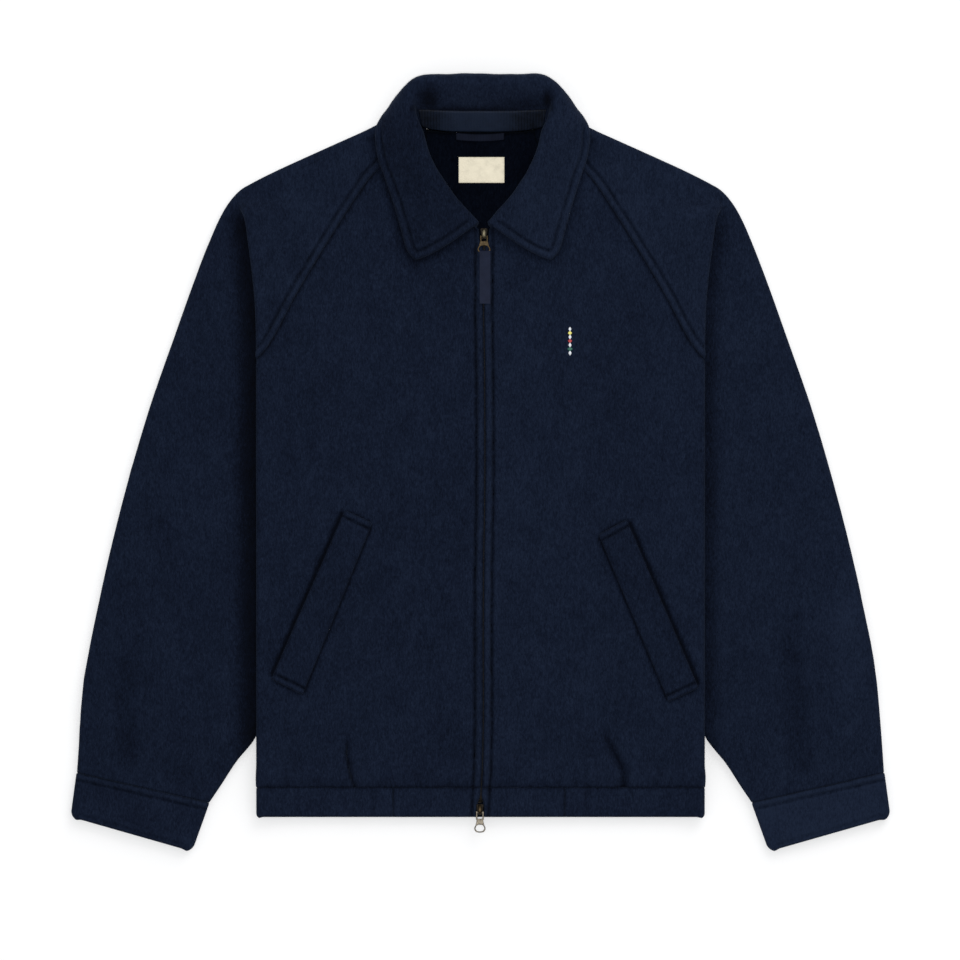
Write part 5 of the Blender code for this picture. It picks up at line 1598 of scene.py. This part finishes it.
def slider_piece(name, pin, material, bridge_material):
    """A slider's body: a top and a foot plate with a wedge between them, and the bridge that arches over it.
    """
    x, y = pin
    middle = y + PIN_PLACE
    bm = bmesh.new()
    outline = smooth_outline([(x + a, middle + b) for a, b in SLIDER_SHAPE], 32)
    top_foot = SLIDER_TOP_Z - SLIDER_PLATES["top"]
    foot_top = SLIDER_FLOOR_Z + SLIDER_PLATES["foot"]
    plate(bm, outline, None, top_foot, SLIDER_TOP_Z)
    plate(bm, outline, None, SLIDER_FLOOR_Z, foot_top)
    across, down = SLIDER_WEDGE["share"]
    wedge = [(x + a * across, middle + SLIDER_WEDGE["y"] + b * down) for a, b in SLIDER_SHAPE]
    overlap = SLIDER_WEDGE["overlap"]
    plate(bm, smooth_outline(wedge, 24), None, foot_top - overlap, top_foot + overlap)
    arcs = []
    for k in range(BRIDGE_STEPS + 1):
        angle = math.pi * (1 - k / BRIDGE_STEPS)
        arc_y = middle + BRIDGE["half_length"] * math.copysign(abs(math.cos(angle)) ** 0.7, math.cos(angle))
        arc_z = SLIDER_TOP_Z - BRIDGE["sunk"] + (BRIDGE_HOLE + BRIDGE["wall"]) * math.sin(angle) ** 0.55
        arcs.append((arc_y, arc_z, BRIDGE["half_width"][0] + BRIDGE["half_width"][1] * math.sin(angle)))
    rings = []
    for k, (arc_y, arc_z, width) in enumerate(arcs):
        before = arcs[max(0, k - 1)]
        after = arcs[min(BRIDGE_STEPS, k + 1)]
        along = Vector((0.0, after[0] - before[0], after[1] - before[1])).normalized()
        out = Vector((0.0, -along.z, along.y))
        if out.z < 0 and abs(along.y) > 0.3:
            out = -out
        ring = []
        for n in range(BRIDGE_SIDES):
            turn = 2 * math.pi * n / BRIDGE_SIDES
            place = Vector((x + width * math.cos(turn), arc_y, arc_z))
            ring.append(bm.verts.new((place + out * (BRIDGE["half_thick"] * math.sin(turn))) * MM))
        rings.append(ring)
    join_rings(bm, rings)
    piece = solid(name, bm, material, SHARP_ANGLE)
    piece.data.materials.append(bridge_material)
    for face in piece.data.polygons:
        face.material_index = int(face.center.z > (SLIDER_TOP_Z + BRIDGE_SHOWS_ABOVE) * MM)
    soften(piece, "Soft edges", 0.35, 2, SHARP_ANGLE)
    return piece


# Right halves of the pulls' plates and of their eyes, from the top down, measured from the pin
UPPER_PULL = {"plate": ((1.5, -4.6), (3.7, -4.5), (4.5, -6.8), (5.2, -9.2), (6.5, -12.0), (6.4, -14.2),
                        (4.6, -15.9), (1.5, -16.3)),
              "eye": ((1.4, -9.1), (3.4, -10.0), (4.9, -12.0), (4.8, -13.5), (3.6, -14.6), (1.4, -14.8)),
              "fork_foot": -5.5}
LOWER_PULL = {"plate": ((1.3, -6.3), (3.0, -6.4), (3.5, -9.5), (4.2, -12.4), (5.5, -15.2), (5.4, -17.2),
                        (3.9, -19.3), (1.4, -20.0)),
              "eye": ((1.3, -12.2), (3.0, -12.9), (4.3, -15.0), (4.3, -16.6), (2.9, -18.4), (1.2, -18.9)),
              "fork_foot": -7.2}
FORK = {"inner": 2.4, "outer": 3.9, "above_pin": 1.3}
PIN = {"radius": 0.7, "past_fork": 0.9}
PULL_THICK = 1.5
PULL_POINTS = 72


def both_halves(right):
    return list(right) + [(-x, y) for x, y in reversed(right)]


def ring_points(corners, centre):
    """Points at even angles round a centre, on a smooth closed outline."""
    dense = np.array(smooth_outline(corners, 720)) - centre
    angle = np.arctan2(dense[:, 1], dense[:, 0])
    order = np.argsort(angle)
    wanted = np.linspace(-math.pi, math.pi, PULL_POINTS, endpoint=False)
    radius = np.interp(wanted, angle[order], np.hypot(dense[:, 0], dense[:, 1])[order], period=2 * math.pi)
    return np.stack([radius * np.cos(wanted), radius * np.sin(wanted)], axis=1) + centre


def arm(bm, x, y_top, y_foot, side, thick):
    """One arm of a pull's fork, rounded at its top where it holds the pin."""
    outline = []
    radius = (FORK["outer"] - FORK["inner"]) / 2
    centre = x + side * (FORK["inner"] + FORK["outer"]) / 2
    for k in range(9):
        angle = math.pi * k / 8
        outline.append((centre + radius * math.cos(angle), y_top - radius + radius * math.sin(angle) * 1.1))
    outline += [(centre - radius, y_foot), (centre + radius, y_foot)]
    plate(bm, outline, None, PIN_Z - thick / 2, PIN_Z + thick / 2)


def pull_piece(name, pin, shape, material):
    """A metal pull: a pin, a fork beside the bridge, and a plate with an eye."""
    x, y = pin
    bm = bmesh.new()
    radius = PIN["radius"] * MM
    made = bmesh.ops.create_cone(bm, cap_ends=True, segments=16, radius1=radius, radius2=radius,
                                 depth=2 * (FORK["inner"] + PIN["past_fork"]) * MM)["verts"]
    bmesh.ops.rotate(bm, verts=made, matrix=Matrix.Rotation(math.pi / 2, 3, "Y"))
    bmesh.ops.translate(bm, verts=made, vec=Vector((x, y, PIN_Z)) * MM)
    for side in (-1, 1):
        arm(bm, x, y + FORK["above_pin"], y + shape["fork_foot"], side, PULL_THICK * 0.96)
    centre = np.array([0.0, np.mean([place[1] for place in shape["eye"]])])
    outline, hole = (ring_points(both_halves(shape[part]), centre) + (x, y) for part in ("plate", "eye"))
    plate(bm, outline.tolist(), hole.tolist(), PIN_Z - PULL_THICK / 2, PIN_Z + PULL_THICK / 2)
    piece = solid(name, bm, material, SHARP_ANGLE)
    soften(piece, "Soft edges", 0.38, 3, SHARP_ANGLE)
    return piece


# The ribbon: how far below the pin its bar is, its layers' height over and under it, its wall and its turn
RIBBON = {"bar": 15.4, "layer": 0.55, "wall": 0.55, "turn": 1.35,
          "sewn_below_bar": 6.0, "sewn_above_foot": 5.2}


def ribbon_piece(name, material):
    """A ribbon folded round the pull's last bar, its two layers sewn together down to the foot."""
    x = UPPER_PIN[0] + TAB_SHIFT
    bar_y = UPPER_PIN[1] - RIBBON["bar"]
    layer, turn = RIBBON["layer"], RIBBON["turn"]
    top = [(place, layer) for place in (TAB_FOOT_Y, *np.linspace(TAB_FOOT_Y + 1.0, bar_y - 4.5, 30))]
    arc = []
    for k in range(13):
        angle = -math.pi / 2 + math.pi * k / 12
        arc.append((bar_y - 0.2 + turn * math.cos(angle) * 1.05, -turn * math.sin(angle)))
    line = top + arc + [(place, -layer) for place, _ in reversed(top)]
    bm = bmesh.new()
    sides = (0.0, 0.4, 1.0)
    columns = [-TAB_WIDTH / 2 + value for value in placed(0.0, TAB_WIDTH, 6, sides, sides)]
    skins = []
    for direction in (1, -1):
        rows = []
        for k, (place, height) in enumerate(line):
            before = line[max(0, k - 1)]
            after = line[min(len(line) - 1, k + 1)]
            along = Vector((0.0, after[0] - before[0], after[1] - before[1])).normalized()
            out = Vector((0.0, -along.z, along.y)) * direction
            row = []
            for across in columns:
                from_side = TAB_WIDTH / 2 - abs(across)
                edge = math.sqrt(max(0.0, 1 - (1 - min(from_side / 0.5, 1.0)) ** 2))
                dent = 0.16 * math.exp(-((place - bar_y + RIBBON["sewn_below_bar"]) / 0.5) ** 2)
                dent += 0.16 * math.exp(-((place - TAB_FOOT_Y - RIBBON["sewn_above_foot"]) / 0.5) ** 2)
                dent += 0.12 * math.exp(-((from_side - 1.3) / 0.3) ** 2)
                offset = out * (RIBBON["wall"] / 2 * edge - (dent if direction > 0 else 0.0))
                row.append(bm.verts.new((Vector((x + across, place, PIN_Z + height)) + offset) * MM))
            rows.append(row)
        skins.append(rows)
    for rows, flip in ((skins[0], False), (skins[1], True)):
        for first, second in zip(rows[:-1], rows[1:]):
            for k in range(len(columns) - 1):
                ring = [first[k], first[k + 1], second[k + 1], second[k]]
                bm.faces.new(list(reversed(ring)) if flip else ring)
    for side in (0, len(columns) - 1):
        for k in range(len(line) - 1):
            bm.faces.new((skins[0][k][side], skins[0][k + 1][side], skins[1][k + 1][side], skins[1][k][side]))
    for end in (0, len(line) - 1):
        for k in range(len(columns) - 1):
            bm.faces.new((skins[0][end][k], skins[0][end][k + 1], skins[1][end][k + 1], skins[1][end][k]))
    bmesh.ops.remove_doubles(bm, verts=bm.verts, dist=0.00002)
    return solid(name, bm, material, 60.0)


# ---------------------------------------------------------------- chest motif

# One upright column of plain diamonds, white and coloured by turns: their places from its middle
WHITE_SPOTS = ((0.0, 12.0), (0.0, 4.0), (0.0, -4.0), (0.0, -12.0))
COLOURED_SPOTS = (("yellow", 0.0, 8.0), ("red", 0.0, 0.0), ("green", 0.0, -8.0))
MOTIF_MIDDLE = (89.5, 120.5)
# Half widths and half heights of the diamonds
MOTIF_SIZES = {"white": (1.6, 2.6), "yellow": (2.2, 2.2), "red": (2.2, 2.2), "green": (3.0, 2.2)}
# A diamond's rings from its rim to its top: share of its size, height
DOME = ((1.0, 0.0), (0.92, 0.35), (0.62, 0.62), (0.25, 0.75))
DOME_SUNK = 0.1
DOME_POINTS = 16


def stitched_patch(bm, shift, size):
    """One small domed diamond of satin stitches, laid on the front."""
    rings = []
    for share, rise in DOME:
        ring = []
        for k in range(DOME_POINTS):
            angle = 2 * math.pi * k / DOME_POINTS
            radius = share / (abs(math.cos(angle)) + abs(math.sin(angle))) ** 0.8
            x = MOTIF_MIDDLE[0] + shift[0] + size[0] * radius * math.cos(angle)
            y = MOTIF_MIDDLE[1] + shift[1] + size[1] * radius * math.sin(angle)
            z = float(front_height(x, y)) + CLOTH / 2 - DOME_SUNK + rise
            ring.append(bm.verts.new(Vector((x, y, z)) * MM))
        rings.append(ring)
    join_rings(bm, rings)


def motif_pieces(materials):
    bm = bmesh.new()
    for shift in WHITE_SPOTS:
        stitched_patch(bm, shift, MOTIF_SIZES["white"])
    pieces = [solid("motif_row", bm, materials["white"])]
    for colour, *shift in COLOURED_SPOTS:
        bm = bmesh.new()
        stitched_patch(bm, shift, MOTIF_SIZES[colour])
        pieces.append(solid(f"motif_{colour}", bm, materials[colour]))
    return pieces


# ---------------------------------------------------------------- assembly


def place_piece(piece, node, body="jacket"):
    """Rides a piece on its body and hides the plain solid it stands for."""
    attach(piece, body)
    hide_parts(node)


# Tapes: name, colour, ribs, roughness, shine, contrast
SATINS = {
    "satin": ("Neck tape", (0.0080, 0.0136, 0.0285), 1300.0, 0.55, 0.10, 0.12),
    # The hanger tape is drawn darker as painted shade, for the loop's place in the neck's shade.
    "strap": ("Hanger tape", (0.0056, 0.0074, 0.0150), 1300.0, 0.75, 0.03, 0.25),
    "ribbon": ("Ribbon", (0.0094, 0.0130, 0.0285), 1800.0, 0.65, 0.07, 0.25),
    "label": ("Label satin", (0.74, 0.68, 0.53), 2600.0, 0.55, 0.2, 0.10),
    "tape": ("Zip tape", (0.0026, 0.0043, 0.0095), 1500.0, 0.8, 0.04, 0.25),
}
METALS = {
    "aged": ("Aged brass", (0.12, 0.105, 0.070)),
    "brown": ("Brown brass", (0.034, 0.0245, 0.0135)),
    "dark": ("Dark brass", (0.007, 0.006, 0.005)),
    "pale": ("Pale metal", (0.105, 0.092, 0.072)),
}
THREADS = {
    "white": ("White thread", (0.76, 0.79, 0.83)),
    "yellow": ("Yellow thread", (0.80, 0.74, 0.18)),
    "red": ("Red thread", (0.42, 0.040, 0.042)),
    "green": ("Green thread", (0.017, 0.106, 0.071)),
}


def build_halves(cloth, sleeve_cloth, tape):
    """The pieces that come in a left and a right one."""
    for name, side in SIDES.items():
        sleeve, front = f"raglan_sleeve_{name}", f"jacket_front_{name}"
        place_piece(sleeve_piece(sleeve, name, side, sleeve_cloth), f"sleeve_{name}")
        place_piece(front_piece(front, name, side, cloth), f"front_{name}")
        place_piece(cuff_piece(f"sleeve_cuff_{name}", side, sleeve_cloth), f"cuff_{name}")
        place_piece(tab_piece(f"front_hem_tab_{name}", side, HEM_TAB_X[(side + 1) // 2], cloth),
                    f"hem_tab_{name}")
        place_piece(tape_piece(f"tape_of_zip_{name}", side, [tape]), f"zip_tape_{name}")


def build_zip(metals, ribbon):
    place_piece(chain_piece("zip_teeth", metals["dark"]), "zip_chain")
    upper = slider_piece("slider_upper", UPPER_PIN, metals["dark"], metals["aged"])
    lower = slider_piece("slider_lower", LOWER_PIN, metals["dark"], metals["brown"])
    upper_pull = pull_piece("pull_upper", UPPER_PIN, UPPER_PULL, metals["brown"])
    lower_pull = pull_piece("pull_lower", LOWER_PIN, LOWER_PULL, metals["pale"])
    place_piece(upper, "zip_slider_upper")
    place_piece(lower, "zip_slider_lower")
    place_piece(upper_pull, "zip_pull_upper", body="upper_pull")
    place_piece(lower_pull, "zip_pull_lower", body="lower_pull")
    place_piece(ribbon_piece("ribbon_tab", ribbon), "zip_pull_tab",
                "upper_pull")


def build_jacket():
    fleece = fleece_material("Fleece")
    # The inner skins use a darker, duller copy of the fleece as painted shade.
    painted_shade_inside = fleece_material("Fleece inside in painted shade", 0.25, 0.3)
    sleeve_fleece = fleece_material("Sleeve fleece", 0.95)
    collar_fleece = fleece_material("Collar fleece", 0.95)
    tapes = {key: satin_material(*look) for key, look in SATINS.items()}
    metals = {key: brass_material(*look) for key, look in METALS.items()}
    threads = {key: thread_material(*look) for key, look in THREADS.items()}
    place_piece(back_piece("jacket_back", [fleece, painted_shade_inside]), "back")
    build_halves([fleece, painted_shade_inside], [sleeve_fleece, painted_shade_inside], tapes["tape"])
    place_piece(band_piece("gathered_hem_band", [fleece, painted_shade_inside]), "hem_band")
    place_piece(collar_piece("turned_collar", [collar_fleece]), "collar")
    place_piece(neck_band_piece("back_neck_band", [tapes["satin"]]), "neck_band")
    place_piece(label_piece("blank_neck_label", [tapes["label"]]), "neck_label")
    place_piece(loop_piece("hanger_strap", [tapes["strap"]]), "hanger_loop")
    for name, seed in (("left", 81.0), ("right", 86.0)):
        place_piece(welt_piece(f"welt_{name}", WELTS[name], seed, [fleece]), f"pocket_welt_{name}")
    build_zip(metals, tapes["ribbon"])
    for piece in motif_pieces(threads):
        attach(piece, "jacket")


# ---------------------------------------------------------------- stage

# Metres, like the rest of the stage
CAMERA_HEIGHT = 2.5
VIEW_WIDTH = 0.960
VIEW_CENTRE = (-0.0005, -0.0185)
FLOOR_Z = -0.0003
FLOOR_HALF = 6.0
FLOOR_COLOUR = (0.90, 0.90, 0.90)
SURROUND = {"colour": (0.97, 0.98, 1.0, 1.0), "strength": 0.41}
OVERHEAD = {"place": (0.0, 0.0, 3.0), "energy": 1.98, "angle": math.radians(7.0)}
KEY = {"place": (1.46, 3.14, 2.0), "size": 3.0, "energy": 54.0}


def build_stage():
    """A pale floor, an even surround, a sun straight above, a soft lamp at the upper right, and a camera."""
    bm = bmesh.new()
    bmesh.ops.create_grid(bm, x_segments=1, y_segments=1, size=FLOOR_HALF)
    bmesh.ops.translate(bm, verts=bm.verts, vec=(0.0, 0.0, FLOOR_Z))
    solid("floor", bm, plain_material("Floor paper", FLOOR_COLOUR, 0.9))
    scene = bpy.context.scene
    world = bpy.data.worlds.new("Studio")
    world.use_nodes = True
    background = world.node_tree.nodes["Background"]
    background.inputs["Color"].default_value = SURROUND["colour"]
    background.inputs["Strength"].default_value = SURROUND["strength"]
    scene.world = world
    overhead = bpy.data.lights.new("Even light from above", "SUN")
    overhead.energy = OVERHEAD["energy"]
    overhead.angle = OVERHEAD["angle"]
    put("Even light from above", overhead).location = OVERHEAD["place"]
    key_data = bpy.data.lights.new("Key", "AREA")
    key_data.shape = "RECTANGLE"
    key_data.size = key_data.size_y = KEY["size"]
    key_data.energy = KEY["energy"]
    key = put("Key", key_data)
    key.location = KEY["place"]
    key.rotation_mode = "QUATERNION"
    key.rotation_quaternion = (-Vector(KEY["place"])).to_track_quat("-Z", "Y")
    camera_data = bpy.data.cameras.new("Camera")
    camera_data.type = "ORTHO"
    camera_data.ortho_scale = VIEW_WIDTH
    scene.camera = put("Camera", camera_data)
    scene.camera.location = (*VIEW_CENTRE, CAMERA_HEIGHT)
    scene.view_settings.view_transform = "Standard"
    scene.view_settings.look = "None"


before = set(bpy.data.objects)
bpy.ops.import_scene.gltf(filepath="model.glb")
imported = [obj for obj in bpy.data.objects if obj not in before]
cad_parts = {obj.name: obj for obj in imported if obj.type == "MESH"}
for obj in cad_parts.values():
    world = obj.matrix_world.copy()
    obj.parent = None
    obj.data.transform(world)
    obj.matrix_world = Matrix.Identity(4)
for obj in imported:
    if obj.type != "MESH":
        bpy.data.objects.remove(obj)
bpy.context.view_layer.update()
build_jacket()
build_stage()
bpy.context.view_layer.update()
